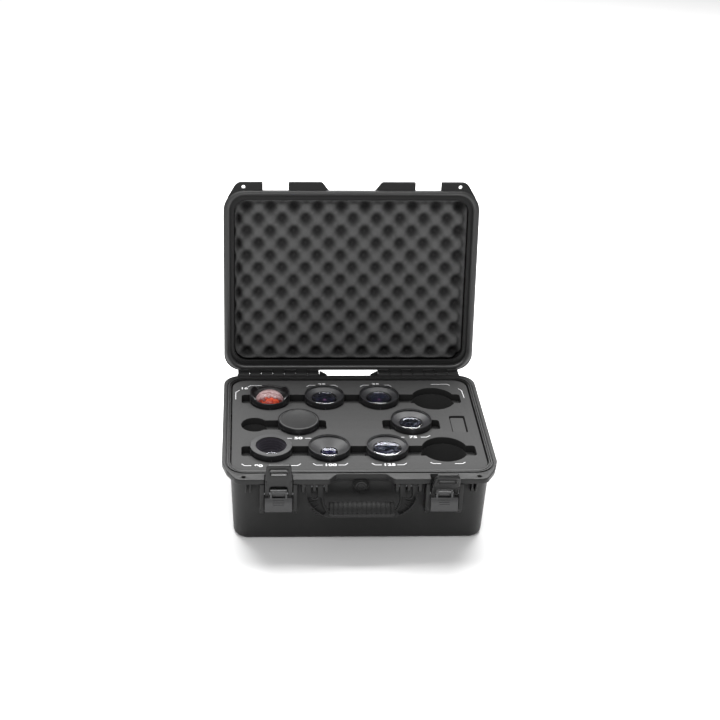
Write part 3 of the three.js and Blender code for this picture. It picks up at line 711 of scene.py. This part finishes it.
def back_ribs():
    """Stiffening ribs under the back rim."""
    made = []
    rib = [(186, 140), (195, 140), (193, 122), (188, 108), (184, 100)]
    for x in (-234, -48, -24, 24, 48, 234):
        made.append(fin(rib, x, 1.6, 0.7))
    return made


def side_ribs(side):
    """Short ribs under the rim at each end."""
    made = []
    rib = [(240, 140), (252, 140), (250, 128), (245, 116), (240, 110)]
    outline = [(side * x, z) for x, z in rib]
    for y in (-120, -60, 0, 60, 120):
        made.append(slab([outline], -y - 1.6, -y + 1.6, 0.7, 2, ALONG_Y))
    return made


def valve_boss():
    profile = [(0, VALVE_SEAT), (15.6, VALVE_SEAT), (15.6, 176.6), (14.9, 177.3), (0, 177.3)]
    facing = shift(0, 0, VALVE_Z) @ Matrix.Rotation(math.radians(90), 4, "X")
    return lathe(profile, 64, closed=False, matrix=facing)


def lid_shell():
    """The lid in its closed place; the caller opens it."""
    low = LID_LOW
    top = low + FLANGE
    levels = [(top, 0), (186, 0)]
    levels += [(z, by) for z, by in reversed(round_edge(14, 200, up=False, steps=8))]
    outer = [section(BODY, by + DRAFT * (z - top), z) for z, by in levels]
    inner_levels = [(z, by + WALL) for z, by in round_edge(10, 196, up=False)]
    inner = [section(BODY, by + DRAFT * (z - top), z) for z, by in inner_levels]
    mouth = [
        section(LID_MOUTH, 0, top - 1), section(LID_MOUTH, 0, low + 4.6), section(LID_MOUTH, -0.7, low + 4),
    ]
    mouth += [section(LID_MOUTH, -1.8, low + 4), section(LID_MOUTH, -2.4, low + 4.8)]
    rings = [section(TONGUE, 4.2, low + 6.2), section(TONGUE, -0.8, low + 6.2)]
    rings += [section(TONGUE, -0.8, low + 2), section(BODY, -2, top - 2)] + outer + inner + mouth
    parts = [loft(rings, closed=True, cap_first=False, cap_last=False)]
    roof_out, roof_in = outer[-1], inner[0]
    parts.append(slab([[(x, y) for x, y, _ in roof_out]], roof_in[0][2], roof_out[0][2], 0))
    groove = rectangle(*inset(TONGUE, -0.9))
    parts.append(slab([rim_outline(), groove] + padlock_holes(), low + 2.4, top, 1.4, 3))
    rib = [(-171, top - 1), (-196, top - 1), (-184, 176), (-171, 180)]
    for side in (-1, 1):
        x = side * LATCH_X
        parts.append(soft_box(x - 21, x + 21, -177, -172, 168, 174, 1.2))
        low_x, high_x = sorted((side * KNUCKLE_START, side * (KNUCKLE_START + KNUCKLE_SPAN)))
        parts.append(soft_box(low_x, high_x, 190, 204, 153.6, top, 1.0))
        for edge in (-1, 1):
            parts.append(fin(rib, x + edge * LATCH_RIB, 3, 0.9))
    arm = [(188, low + 1), (198, low), (HINGE.y, 151.2), (HINGE.y + 5, 149.5), (HINGE.y + 1, 155)]
    parts += hinge_knuckles(1, arm + [(198, 159), (188, 160)])
    parts += lid_top_ribs()
    return combine(parts)


def lid_bead(z):
    """The broad round bead outside the lid's groove."""
    outer = (-257.3, 257.3, -181.5, 197.8, 42.0)
    inner = (-245.5, 245.5, -171.6, 186.5, 33.0)
    rings = []
    for k in range(17):
        a = math.pi * k / 16
        t = (1 - math.cos(a)) / 2
        rect = [p + (q - p) * t for p, q in zip(outer, inner)]
        rings.append(section(rect, 0, z + 3.4 - 3.4 * math.sin(a)))
    rings += [section(inner, 0, z + 6.5), section(outer, 0, z + 6.5)]
    return loft(rings, closed=True, cap_first=False, cap_last=False)


def lid_top_ribs():
    """Raised pads on the lid's outside, which another case can stand on."""
    made = []
    for x0, x1 in ((-190, -120), (-90, 90), (120, 190)):
        for y0, y1 in ((-120, -30), (40, 130)):
            outline = rectangle(x0, x1, y0, y1, 12, 5)
            made.append(slab([outline], 197, 201.4, 1.2, 3))
    return made


# ------------------------------------------------------------------ latches


def latch_hook(side, tilt):
    """A windowed plate with a lip at its top and two legs on the pin, drawn upright."""
    x = side * LATCH_X
    legs = [
        (-25.2, 115.2, 2.2), (-17.2, 115.2, 2.2), (-17.2, 131, 0), (-14, 136, 4),
        (14, 136, 4), (17.2, 131, 0), (17.2, 115.2, 2.2), (25.2, 115.2, 2.2),
    ]
    head = [(25.2, 150, 0), (23.4, 166, 0), (23, 182, 7), (-23, 182, 7), (-23.4, 166, 0), (-25.2, 150, 0)]
    outer = rounded(legs + head, 5)
    window = rectangle(-17, 17, 160.5, 174, 5, 6)
    parts = [slab([outer, window], 193, 198.8, 1.0, 3, ALONG_Y)]
    rim = rectangle(-18.6, 18.6, 159, 175.5, 6.5, 6)
    parts.append(slab([rim, rectangle(-16.4, 16.4, 161.2, 173.4, 4.5, 6)], 192.4, 200.2, 0.8, 3, ALONG_Y))
    parts.append(soft_box(-19, 19, -198, -189.5, 178.2, 182, 1.5, 3))
    leg = rounded(
        [(-193.6, 142, 1), (-200.6, 154, 2), (-199.4, 127, 3), (-198.6, 115.4, 2), (-193.6, 115, 2)], 4,
    )
    for end in (-1, 1):
        parts.append(fin(leg, end * 23.4, 1.8, 0.7))
        low, high = sorted((end * 17.4, end * 25))
        parts.append(rod(ALONG_X, LATCH_PIN.y, LATCH_PIN.z, 3.5, low, high, 0.4, 20))
    bm = combine(parts, shift(x, 0, 0))
    bm.transform(about(LATCH_PIN, tilt))
    return bm


def latch_lever(side):
    """The finger plate, bellied and ridged, and the cupped tab between the hook's legs."""
    x = side * LATCH_X
    belly = [
        (-199.8, 108), (-203.4, 108), (-205.6, 105), (-207.2, 97), (-208.4, 88), (-209.6, 83), (-208.6, 81),
        (-205.4, 81.4), (-204.2, 88), (-203.2, 94), (-199.8, 99),
    ]
    parts = [fin(belly, 0, 25.1, 0.8, 3)]
    for z in (103.4, 99.2, 95):
        y = -206.2 - 0.12 * (104 - z)
        parts.append(soft_box(-10.5, 10.5, y - 0.9, y + 1.5, z - 0.9, z + 0.9, 0.5))
    tab = rounded(
        [(-192, 97, 2), (-190, 113, 3), (-192.5, 121, 2), (-198, 120, 2), (-198.6, 104, 1), (-202, 97, 0)],
        4,
    )
    parts.append(fin(tab, 0, 15.6, 0.8))
    horn = rounded([(-198, 100, 0), (-203.6, 106, 2), (-203, 118, 2), (-200, 121, 1.5), (-196, 120, 1)], 4)
    for edge in (-1, 1):
        parts.append(fin(horn, edge * 14, 1.8, 0.6))
    brow = rounded([(-12.5, 116, 0), (0, 118.4, 8), (12.5, 116, 0), (12.5, 120.2, 1), (-12.5, 120.2, 1)], 6)
    parts.append(slab([brow], 199, 202.4, 0.5, 2, ALONG_Y))
    cup = rounded([(-13, 101, 0), (13, 101, 0), (13, 108, 3), (-13, 108, 3)], 4)
    parts.append(slab([cup], 198, 203.4, 0.6, 2, ALONG_Y))
    return combine(parts, shift(x, 0, 5))


# ------------------------------------------------------------------ handle


def arm_curve(points):
    """Points along a quadratic curve."""
    a, b, c = [Vector(p) for p in points]
    shares = [k / 10 for k in range(11)]
    return [tuple((1 - t) ** 2 * a + 2 * t * (1 - t) * b + t * t * c) for t in shares]


def handle_frame():
    """Forked, ribbed channel arms and the plain lower half of the grip. Drawn hanging straight down."""
    fork = [
        (87 + 6.3 * math.cos(a), -17 + 6.3 * math.sin(a)) for a in [-math.pi * k / 10 for k in range(11)]
    ]
    inner = arm_curve([(70.6, -22), (69, -36), (63, GRIP_CENTRE)])
    outer = arm_curve([(62, -58), (100, -43), (103.3, -12)])
    right = inner[::-1] + [(70.6, 4.4), (80.7, 4.4)] + fork[::-1] + [(93.3, 4.4), (103.3, 4.4)] + outer[::-1]
    left = [(-x, y) for x, y in reversed(right)]
    outline = right + left
    hollow_right = (
        arm_curve([(70.5, -54), (95, -43), (100.4, -20)])
        + [(95, -21)]
        + [(87 + 9 * math.cos(a), -17 + 9 * math.sin(a)) for a in [-math.pi * k / 8 for k in range(1, 8)]]
        + arm_curve([(74, -22), (73, -38), (65, -47.5)])
    )
    hollow_left = [(-x, y) for x, y in hollow_right]
    parts = [slab([outline, hollow_right, hollow_left], -5.2, 5.2, 0.7, 3)]
    parts.append(slab([outline], -5.0, -1.6, 0.5, 2))
    for side in (-1, 1):
        for a, b in (((76, -47), (84, -53)), ((80, -36), (92, -45)), ((83, -28), (98, -32))):
            low = Vector((side * a[0], a[1]))
            high = Vector((side * b[0], b[1]))
            across = Vector((-(high - low).y, (high - low).x)).normalized() * 0.9
            quad = [tuple(low - across), tuple(high - across), tuple(high + across), tuple(low + across)]
            parts.append(slab([quad], -3, 3.6, 0.3, 1))
    return combine([combine(parts, ALONG_Y), grip_half(-1)])


def grip_half(side):
    """Half of the grip's round section along X: ribbed rubber above, smooth plastic below."""
    rings = []
    length = 60.0 if side > 0 else 61.0
    first, span = (-0.6, math.pi + 1.2) if side > 0 else (math.pi + 0.6, math.pi - 1.2)
    count = 150 if side > 0 else 30
    lift = 0.3 if side > 0 else 0
    for k in range(count + 1):
        x = -length + 2 * length * k / count
        end = min(1.0, (length - abs(x)) / 4.0)
        swell = math.sqrt(max(0.0, 1 - (1 - end) ** 2))
        r = GRIP_RADIUS * (0.9 + 0.1 * swell)
        if side > 0 and abs(x) < 53:
            groove = math.cos(TAU * x / GRIP_RIB)
            r -= 1.3 * max(0.0, groove - 0.3) / 0.7
        ring = []
        for j in range(21):
            a = first + span * j / 20
            ring.append((x, r * math.cos(a) * 0.97, GRIP_CENTRE + r * math.sin(a) + lift))
        rings.append(ring)
    return loft(rings)


# ------------------------------------------------------------------ foam


def row_outline(y, x0, x1, circles):
    """Outline of a finger slot and the pockets strung on it. With no x0 it starts at its first pocket."""

    def edge(side):
        top = y + side * SLOT_HALF

        def end(x, inward, angles):
            return [
                (x + inward * SLOT_CORNER * (1 - math.cos(a)), top - side * SLOT_CORNER * (1 - math.sin(a)))
                for a in [math.radians(degrees) for degrees in angles]
            ]

        points = [] if x0 is None else end(x0, 1, range(0, 91, 15))
        for cx, cy, r in circles:
            reach = math.sqrt(r * r - (top - cy) ** 2)
            start = math.atan2(top - cy, -reach)
            sweep = math.atan2(top - cy, reach)
            if x0 is None and cx == circles[0][0]:
                start = side * math.pi
            sweep -= start
            for k in range(31):
                a = start + sweep * k / 30
                points.append((cx + r * math.cos(a), cy + r * math.sin(a)))
        return points + end(x1, -1, range(90, -1, -15))

    upper = edge(1)
    lower = edge(-1)
    if x0 is None:
        lower = lower[1:]
    return upper + lower[::-1]


def row_pockets(row):
    """Three lens pockets and the empty one at the right of a full row."""
    filled = [(x * COLUMN, ROW_Y[row], POCKET) for x in (-1.5, -0.5, 0.5)]
    return filled + [(1.5 * COLUMN, ROW_Y[row] + EMPTY_SHIFT, EMPTY_POCKET)]


def foam_holes():
    """Every opening in the top layer of foam."""
    return [
        row_outline(106.5, -221, 220, row_pockets("back")),
        row_outline(-92, -221, 224, row_pockets("front")),
        row_outline(4.5, None, -56, [SMALL_POCKET, (-COLUMN, ROW_Y["middle"], POCKET)]),
        row_outline(4.5, 54.5, 166, [(COLUMN, ROW_Y["middle"], POCKET)]),
        rectangle(*PLUG_HOLE, 3.5, 4),
    ]


def foam_top():
    return slab([rectangle(*inset(WELL, 2.2))] + foam_holes(), FOAM_TOP - FOAM_LAYER, FOAM_TOP, 1.1, 4)


def foam_core():
    """The block below the top layer, with its pockets."""
    rect = inset(BODY, 5)
    top = FOAM_TOP - FOAM_LAYER - PIECE_GAP
    block = loft([section(rect, DRAFT * (RIM_Z - z), z) for z in (CORE_LOW, top)])
    pockets = [
        (x * COLUMN, ROW_Y[row], POCKET, RING_TOP - length - PIECE_GAP) for _, x, row, length, *_ in LENSES
    ]
    for row in ("back", "front"):
        pockets.append((1.5 * COLUMN, ROW_Y[row] + EMPTY_SHIFT, EMPTY_POCKET, 37.7))
    pockets.append((*SMALL_POCKET, 95))
    tools = []
    for x, y, r, floor in pockets:
        profile = [(0, floor), (r - 1.5, floor), (r, floor + 1.5), (r, CUT_TOP), (0, CUT_TOP)]
        tools.append(lathe(profile, 64, closed=False, matrix=shift(x, y, 0)))
    tools.append(box_shape(*PLUG_HOLE, 115.7, CUT_TOP))
    for tool in tools:
        block = cut_by(block, tool)
    return block


def egg_crate():
    """Convoluted foam: staggered rows of pits and peaks, drawn in the closed lid's place."""
    left, right, front, back, corner = inset(LID_MOUTH, 1.2)
    nx, ny = EGG_GRID
    bm = bmesh.new()

    def height(x, y):
        u = 198.0 - y
        across = math.cos(TAU * (x + EGG_PHASE[0]) / EGG_PITCH[0])
        wave = 0.5 + 0.5 * (across * math.cos(TAU * (u - EGG_PHASE[1]) / EGG_PITCH[1]))
        edge = min(x - left, right - x, y - front, back - y)
        fade = min(1.0, edge / 7.0)
        z = EGG_PEAK + EGG_DEPTH * wave ** 1.75 * fade * fade * (3 - 2 * fade)
        fine = 0.35 * noise.noise(Vector((x * 0.9, y * 0.9, 3.0)))
        z += fine + 0.5 * noise.noise(Vector((x * 0.08, y * 0.08, 7.0)))
        return z + (1.5 * (1 - edge / 2.0) ** 2 if edge < 2.0 else 0.0)

    def placed(i, j):
        x = left + (right - left) * i / nx
        y = front + (back - front) * j / ny
        cx = min(max(x, left + corner), right - corner)
        cy = min(max(y, front + corner), back - corner)
        dx, dy = x - cx, y - cy
        if dx and dy:
            big = max(abs(dx), abs(dy))
            scale = big / math.hypot(dx, dy)
            x, y = cx + dx * scale, cy + dy * scale
        return x, y

    grid = []
    for j in range(ny + 1):
        row = []
        for i in range(nx + 1):
            x, y = placed(i, j)
            row.append(bm.verts.new((x, y, height(x, y))))
        grid.append(row)
    for j in range(ny):
        for i in range(nx):
            bm.faces.new((grid[j][i], grid[j][i + 1], grid[j + 1][i + 1], grid[j + 1][i]))
    border = (
        [grid[0][i] for i in range(nx)]
        + [grid[j][nx] for j in range(ny)]
        + [grid[ny][i] for i in range(nx, 0, -1)]
        + [grid[j][0] for j in range(ny, 0, -1)]
    )
    foot = [bm.verts.new((v.co.x, v.co.y, 185.0)) for v in border]
    middle = Vector(((left + right) / 2, (front + back) / 2, 0))
    roof = []
    for v in border:
        x = middle.x + (v.co.x - middle.x) * 0.965
        y = middle.y + (v.co.y - middle.y) * 0.95
        roof.append(bm.verts.new((x, y, EGG_BACK)))
    for a, b in ((border, foot), (foot, roof)):
        for k in range(len(a)):
            m = (k + 1) % len(a)
            bm.faces.new((a[k], b[k], b[m], a[m]))
    bm.faces.new(roof)
    bmesh.ops.recalc_face_normals(bm, faces=bm.faces)
    return bm


# ------------------------------------------------------------------ printed marks


def ribbon(points):
    """A flat printed stroke along points, 0.15 mm proud of the foam."""
    path = [Vector(p) for p in points]
    left, right = [], []
    for i, p in enumerate(path):
        before = (p - path[i - 1]).normalized() if i else (path[1] - p).normalized()
        after = (path[i + 1] - p).normalized() if i + 1 < len(path) else before
        normal = Vector((-(before + after).y, (before + after).x)).normalized()
        stretch = STROKE / 2 / max(0.4, normal.dot(Vector((-before.y, before.x))))
        left.append(tuple(p + normal * stretch))
        right.append(tuple(p - normal * stretch))
    return slab([left + right[::-1]], FOAM_TOP + 0.05, FOAM_TOP + 0.25)


def numeral(text, x, y):
    """Printed figures centred at a point of the foam."""
    curve = bpy.data.curves.new("figures", "FONT")
    curve.body = text
    curve.size = FIGURE_SIZE
    curve.align_x = "CENTER"
    curve.align_y = "CENTER"
    curve.extrude = 0.1
    curve.offset = 0.3
    bm = solid_of(curve)
    bm.transform(shift(x, y, FOAM_TOP + 0.16) @ Matrix.Diagonal((FIGURE_STRETCH, 1, 1, 1)))
    return bm


def bracket(x, y, text, outer=33.0, low=False):
    """Two angled strokes either side of a pocket's number."""
    s = -1 if low else 1
    made = [
        ribbon([(x - outer, y - s * 6), (x - outer + 5.5, y), (x - outer + 18, y)]),
        ribbon([(x + outer - 18, y), (x + outer - 5.5, y), (x + outer, y - s * 6)]),
    ]
    if text:
        made.append(numeral(text, x, y + (3.0 if s > 0 else 0.5)))
    return made


def prints():
    made = [ribbon([(-233, 105), (-233, 132.7), (-225.3, 142.5)]), numeral("16", -216, 149.5)]
    made.append(ribbon([(-208.5, 155), (-202.9, 161.2), (-172.6, 161.1)]))
    for x, text in ((-57, "25"), (53, "35")):
        made += bracket(x, 161.9, text, 31.6)
    made.append(ribbon([(167.2, 165), (201.7, 165), (205, 159.7)]))
    made.append(ribbon([(221, 146.8), (227, 138.8), (228.4, 109.2)]))
    made += [
        ribbon([(-148.5, -37.5), (-137.5, -46.5), (-124.5, -46.5)]), ribbon([(-99, -46.5), (-87, -46.5)]),
    ]
    made.append(numeral("50", -112, -46))
    made += [ribbon([(78, -43.5), (92, -43.5)]), ribbon([(124, -43.5), (135, -43.5), (143, -37.5)])]
    made.append(numeral("75", 109.5, -43))
    made += bracket(-165.5, -143.5, "", 55, low=True)
    made.append(numeral("90", -189, -144.5))
    made += bracket(-55, -142.5, "100", 32.6, low=True)
    made += bracket(55, -142.5, "125", 32.6, low=True)
    made.append(ribbon([(132.8, -134.2), (137.6, -138.6), (152, -138.7)]))
    made.append(ribbon([(177.9, -138.9), (192.3, -139), (198, -134)]))
    return combine(made)


# ------------------------------------------------------------------ lenses


def gear(outer, root, bore, low, high, teeth):
    """A toothed band with a plain bore."""
    outline = []
    for i in range(teeth):
        a = TAU * i / teeth
        step = TAU / teeth
        for share, r in ((0.0, root), (0.22, root), (0.36, outer), (0.64, outer), (0.78, root)):
            outline.append((r * math.cos(a + share * step), r * math.sin(a + share * step)))
    return slab([outline, circle(0, 0, bore, 48)], low, high)


def band(outer, bore, low, high, grooves=()):
    """A plain ring with eased edges and cut lines."""
    profile = [(bore, low), (outer - RING_EASE, low), (outer, low + RING_EASE)]
    for g in sorted(grooves):
        profile += [(outer, g - 0.5), (outer - 0.6, g - 0.3), (outer - 0.6, g + 0.3), (outer, g + 0.5)]
    profile += [(outer, high - RING_EASE), (outer - RING_EASE, high), (bore, high)]
    return lathe(profile, 96)


def ticks(radius, z, count, long_every, span=0.8):
    """Engraved scale strokes round a ring."""
    made = []
    for i in range(count):
        tall = 3.0 if i % long_every == 0 else 1.6
        bm = box_shape(-0.22, 0.22, -0.1, 0.12, -tall / 2, tall / 2)
        a = TAU * span * i / count
        bm.transform(Matrix.Rotation(a, 4, "Z") @ shift(0, -radius, z))
        made.append(bm)
    return combine(made)


def lens_front(length, window, sunk, look):
    """(radius, height) of the front ring's face, from its outer edge down to the glass."""
    if look == "deep":
        steps = [(29.2, length - 0.3), (28.6, length - 1.5)]
        z = length - 1.5
        r = 28.6
        while z > length - sunk + 3:
            steps += [(r - 0.9, z - 3.6), (r - 1.5, z - 4.0)]
            z -= 4.6
            r -= 1.5
        return steps + [(window + 0.8, length - sunk)]
    face = [(38.4, length), (37.6, length - 0.8)]
    for k in range(4):
        face += [(37.6, length - 1.2 - 0.7 * k), (37.0, length - 1.5 - 0.7 * k)]
    face.append((37.4, length - 4.2))
    rings = 5
    for k in range(1, rings + 1):
        t = k / rings
        r = 37.0 + (window + 1.6 - 37.0) * t
        z = length - 4.4 + (4.4 - sunk + 0.6) * t
        face += [(r + 0.5, z + 0.25), (r, z)]
    return face + [(window + 0.7, length - sunk + 0.4), (window + 0.7, length - sunk)]


def hood_ears(length):
    """The two raised petals either side of a domed front."""
    ears = []
    for turn in (0, math.pi):
        rings = []
        for k in range(25):
            a = math.radians(-50 + 100 * k / 24) + turn
            top = length - 1.5 + 7.5 * (1 - ((k - 12) / 12.0) ** 6)
            corners = [(35.4, length - 4), (39.8, length - 2), (39.8, top), (37.4, top)]
            rings.append([(r * math.cos(a), r * math.sin(a), z) for r, z in corners])
        ears.append(loft(rings))
    return combine(ears)


def make_lens(name, column, row, length, window, sunk, bulge, look):
    """One lens in its pocket, as pieces that ride on its barrel, focus and iris bodies."""
    x, y, foot = column * COLUMN, ROW_Y[row], RING_TOP - length
    at = (x, y, foot)
    body = name + "_body"
    seat = length - sunk

    def add(suffix, bm, mat, on=body, replaced=(), smooth=32.0):
        bm.transform(shift(*at))
        return piece(f"{name}_{suffix}", bm, on, mat, replaced, smooth, origin=at)

    core = [(0, 0.4), (30, 0.4), (31, 1.4), (31, 13), (30, 14), (27, 15.6), (27, 22), (34, 30)]
    core += [(34, length - 15), (39.4, length - 15), (RING_RADIUS, length - 14.4), (RING_RADIUS, length - 8)]
    core += [(39.5, length - 7.7), (39.5, length - 7.1), (RING_RADIUS, length - 6.8)]
    core += [(RING_RADIUS, length - 0.7), (39.4, length)]
    front = lens_front(length, window, sunk, look)
    core += front[:2]
    floor = seat - 8
    if look == "deep":
        mouth = [(29.6, length - 6), (29.6, floor - 3)]
    else:
        mouth = [(37.0, length - 6), (33.4, length - 10), (33.4, floor - 3)]
    shell = lathe(core + mouth + [(0, floor - 3)], 96, closed=False)
    add("shell", shell, ANODISED, replaced=(name + "_barrel",))
    funnel = front + [(window + 0.3, seat - 1.2), (window - 0.6, floor), (0, floor), (0, floor - 1)]
    funnel += [(window + 1.2, floor - 1), (window + 2, seat - 1.5)]
    if look != "deep":
        funnel += [(36.2, length - 6.2), (38.2, length - 1.0)]
    else:
        funnel += [(29.5, length - 6), (29.5, length - 0.5)]
    add("bevel", lathe(funnel, 96), BEVELS[look])
    if look == "deep":
        face = [(29.3, length - 0.4), (39.2, length - 0.4), (39.2, length + 0.1), (29.3, length + 0.1)]
        add("flat_face", lathe(face, 96), PALE)

    dome = []
    for k in range(15):
        a = k / 14 * math.pi / 2
        dome.append((window * math.sin(a), seat - 1 + bulge * math.cos(a)))
    back = [(window, seat - 2.2), (window * 0.6, seat - 3.0), (0, seat - 3.4)]
    glass = BULB if look == "bulb" else GLASS
    front_glass = lathe(dome + back, 96, closed=False)
    add("glass", front_glass, glass, replaced=(name + "_front_glass",))
    inner = window * (0.86 if look != "deep" else 0.95)
    second = []
    for k in range(9):
        a = k * math.pi / 16
        second.append((inner * math.sin(a), seat - 5 + (1.6 + bulge * 0.25) * math.cos(a)))
    second += [(inner, seat - 6.5), (0, seat - 6.5)]
    add("inner_element", lathe(second, 96, closed=False), COATING_AND_REFLECTIONS[look])

    focus_low, focus_high = length - 47, length - 15.3
    focus = combine([
        band(39.2, BORE_RADIUS, focus_low, focus_low + 12, grooves=(focus_low + 2, focus_low + 10)),
        gear(39.7, 38.2, BORE_RADIUS, focus_low + 12.3, focus_low + 24.3, 96),
        band(39.2, BORE_RADIUS, focus_low + 24.6, focus_high),
    ])
    add("focus_band", focus, RING, on=name + "_focus_body", replaced=(name + "_focus_ring",))
    add("focus_scale", ticks(39.2, focus_low + 6, 36, 4), PRINT, on=name + "_focus_body")
    iris_low, iris_high = length - 67, length - 52
    iris = combine([
        band(37.9, BORE_RADIUS, iris_low, iris_low + 6),
        gear(38.5, 37.0, BORE_RADIUS, iris_low + 6.3, iris_high, 92),
    ])
    add("iris_band", iris, RING, on=name + "_iris_body", replaced=(name + "_iris_ring",))
    add("iris_scale", ticks(37.9, iris_low + 3, 14, 2, 0.35), PRINT, on=name + "_iris_body")
    add("index_line", box_shape(-0.25, 0.25, -40.1, -39.7, length - 13, length - 9), FAINT_MARK_AND_HIGHLIGHT)
    if look == "bulb":
        add("hood_ears", hood_ears(length), ANODISED)


# ------------------------------------------------------------------ the model

open_lid = about(HINGE, -LID_OPEN)

piece("case_base_shell", base_shell(), "case_base", CASE, ("base_shell",), smooth=35)
lid = lid_shell()
lid.transform(open_lid)
piece("case_lid_shell", lid, "case_lid", CASE, ("lid_shell",), smooth=35)

bead = lid_bead(LID_LOW)
bead.transform(open_lid)
piece("lid_rim_bead", bead, "case_lid", RIM, smooth=50)

egg = egg_crate()
egg.transform(open_lid)
egg_piece = piece("lid_egg_crate_foam", egg, "case_lid", EGG, ("lid_foam",), smooth=60)

for side, label, tilt in ((-1, "left", 2.0), (1, "right", 29.5)):
    piece(
        f"latch_{label}_hook_plate",
        latch_hook(side, math.radians(tilt)),
        f"latch_{label}_hook_body",
        LATCH,
        (f"latch_{label}_hook",),
    )
    piece(
        f"latch_{label}_finger_lever",
        latch_lever(side),
        f"latch_{label}_lever_body",
        LEVER,
        (f"latch_{label}_lever",),
    )

hang = shift(*HANDLE_PIVOT) @ Matrix.Rotation(HANDLE_TILT, 4, "X")
arms = handle_frame()
arms.transform(hang)
piece("handle_arms", arms, "handle", LATCH, ("handle_frame",))
rubber = grip_half(1)
rubber.transform(hang)
piece("handle_rubber_grip", rubber, "handle", RUBBER, ("handle_grip",), smooth=50)

facing = shift(0, 0, VALVE_Z) @ Matrix.Rotation(math.radians(90), 4, "X")
collar = [(0, VALVE_SEAT), (14.1, VALVE_SEAT), (14.1, 182.8), (13.6, 183.6), (13.1, 183.6)]
collar += [(12.7, 182.8), (12.4, 180.6), (0, 180.6)]
valve = lathe(collar, 64, closed=False, matrix=facing)
piece("valve_collar", valve, "case_base", CASE, ("valve_housing",))
knob = [(0, 180.9), (11.9, 180.9), (11.9, 182.8), (11.4, 183.6), (9.6, 183.6), (9.1, 182.6), (7.3, 182.6)]
knob += [(6.8, 183.6), (4.9, 183.6), (4.4, 182.6), (0, 182.6)]
button = lathe(knob, 64, closed=False, matrix=facing)
piece("valve_button", button, "valve_knob_body", LATCH, ("valve_knob",))

kept = {f"{pin}_{end}": STEEL for pin in ("hinge_pin", "handle_pin") for end in ("left", "right")}
kept |= {"latch_left_pin": STEEL, "latch_right_pin": STEEL, "lid_gasket": SEAL, "foam_base_pad": FOAM}
for name, mat in kept.items():
    target = nodes[name]
    target.data.materials.clear()
    target.data.materials.append(mat)
    for polygon in target.data.polygons:
        polygon.use_smooth = True
    target.data.set_sharp_from_angle(angle=math.radians(40))

piece("foam_insert_top", foam_top(), "case_base", CUT_FOAM, ("foam_top_layer",))
blocks = tuple(f"foam_core_{row}_{end}" for row in ROW_Y for end in ("left", "right"))
piece("foam_insert_core", foam_core(), "case_base", CORE, blocks)
plug = slab([rectangle(190, 216.4, -23.5, 35.4, 3, 4)], 116, 142.6, 1.2, 4)
piece("foam_plug_block", plug, "plug_body", FOAM, ("foam_plug",))
piece("foam_print", prints(), "case_base", PRINT)

for lens in LENSES:
    make_lens(*lens)

cap_at = (-COLUMN, ROW_Y["middle"], 0)
cap_profile = [(0, 154.5), (36.6, 154.5), (36.9, 154.9), (36.9, 157.1), (36.3, 157.6), (34.6, 157.6)]
cap_profile += [(34.2, 157.1), (33.4, 156.9), (0, 157.0)]
disc = lathe(cap_profile, 96, closed=False, matrix=shift(*cap_at))
piece("lens_cap_disc", disc, "cap_body", CAP, ("lens_cap",), origin=cap_at)

# A lighter ring on the cap's lip: a painted highlight along its rim.
cap_rim_highlight_profile = [(36.3, 157.55), (36.9, 157.15), (37.1, 157.35), (36.5, 157.85)]
edge = lathe(cap_rim_highlight_profile, 96, matrix=shift(*cap_at))
piece("lens_cap_rim_highlight", edge, "cap_body", FAINT_MARK_AND_HIGHLIGHT, origin=cap_at)

# ------------------------------------------------------------------ stage


def stage():
    floor = bmesh.new()
    bmesh.ops.create_grid(floor, x_segments=1, y_segments=1, size=20.0)
    mesh = bpy.data.meshes.new("floor")
    floor.to_mesh(mesh)
    floor.free()
    mesh.materials.append(material("floor", (0.9, 0.9, 0.9), 0.8, shade=0.01, shade_size=3))
    obj = show("floor", mesh)
    obj.location.z = -0.0006


def area_light(name, place, aim, size, power):
    lamp = bpy.data.lights.new(name, "AREA")
    lamp.shape = "RECTANGLE"
    lamp.size, lamp.size_y = size
    lamp.energy = power
    obj = show(name, lamp)
    obj.location = place
    obj.rotation_euler = (Vector(aim) - Vector(place)).to_track_quat("-Z", "Y").to_euler()


def world():
    sky = bpy.data.worlds.new("studio")
    sky.use_nodes = True
    background = sky.node_tree.nodes["Background"]
    background.inputs["Color"].default_value = (1, 1, 1, 1)
    background.inputs["Strength"].default_value = 0.38
    bpy.context.scene.world = sky


def camera():
    """The viewing angle: 28 degrees down, 2 degrees from straight on, a long lens off to the left."""
    lens = bpy.data.cameras.new("camera")
    lens.sensor_width = 36.0
    lens.lens = 71.88
    lens.shift_x = 0.0907
    lens.clip_end = 100
    elevation, yaw, roll = math.radians(28.185), math.radians(2.152), math.radians(0.947)
    level = math.cos(elevation)
    forward = Vector((math.sin(yaw) * level, math.cos(yaw) * level, -math.sin(elevation)))
    right = Vector((math.cos(yaw), -math.sin(yaw), 0))
    up = right.cross(forward)
    turned_right = math.cos(roll) * right + math.sin(roll) * up
    turned_up = -math.sin(roll) * right + math.cos(roll) * up
    obj = show("camera", lens)
    rotation = Matrix((turned_right, turned_up, -forward)).transposed().to_4x4()
    obj.matrix_world = shift(-0.21014, -2.40488, 1.58133) @ rotation
    bpy.context.scene.camera = obj


stage()
world()
camera()
area_light("overhead", (0.0, 1.75, 2.7), (0, 0.35, 0), (3.6, 2.2), 300)
area_light("front", (-0.5, -2.5, 3.0), (0, 0.2, 0.35), (3.0, 1.4), 54)
bpy.context.scene.view_settings.view_transform = "Standard"
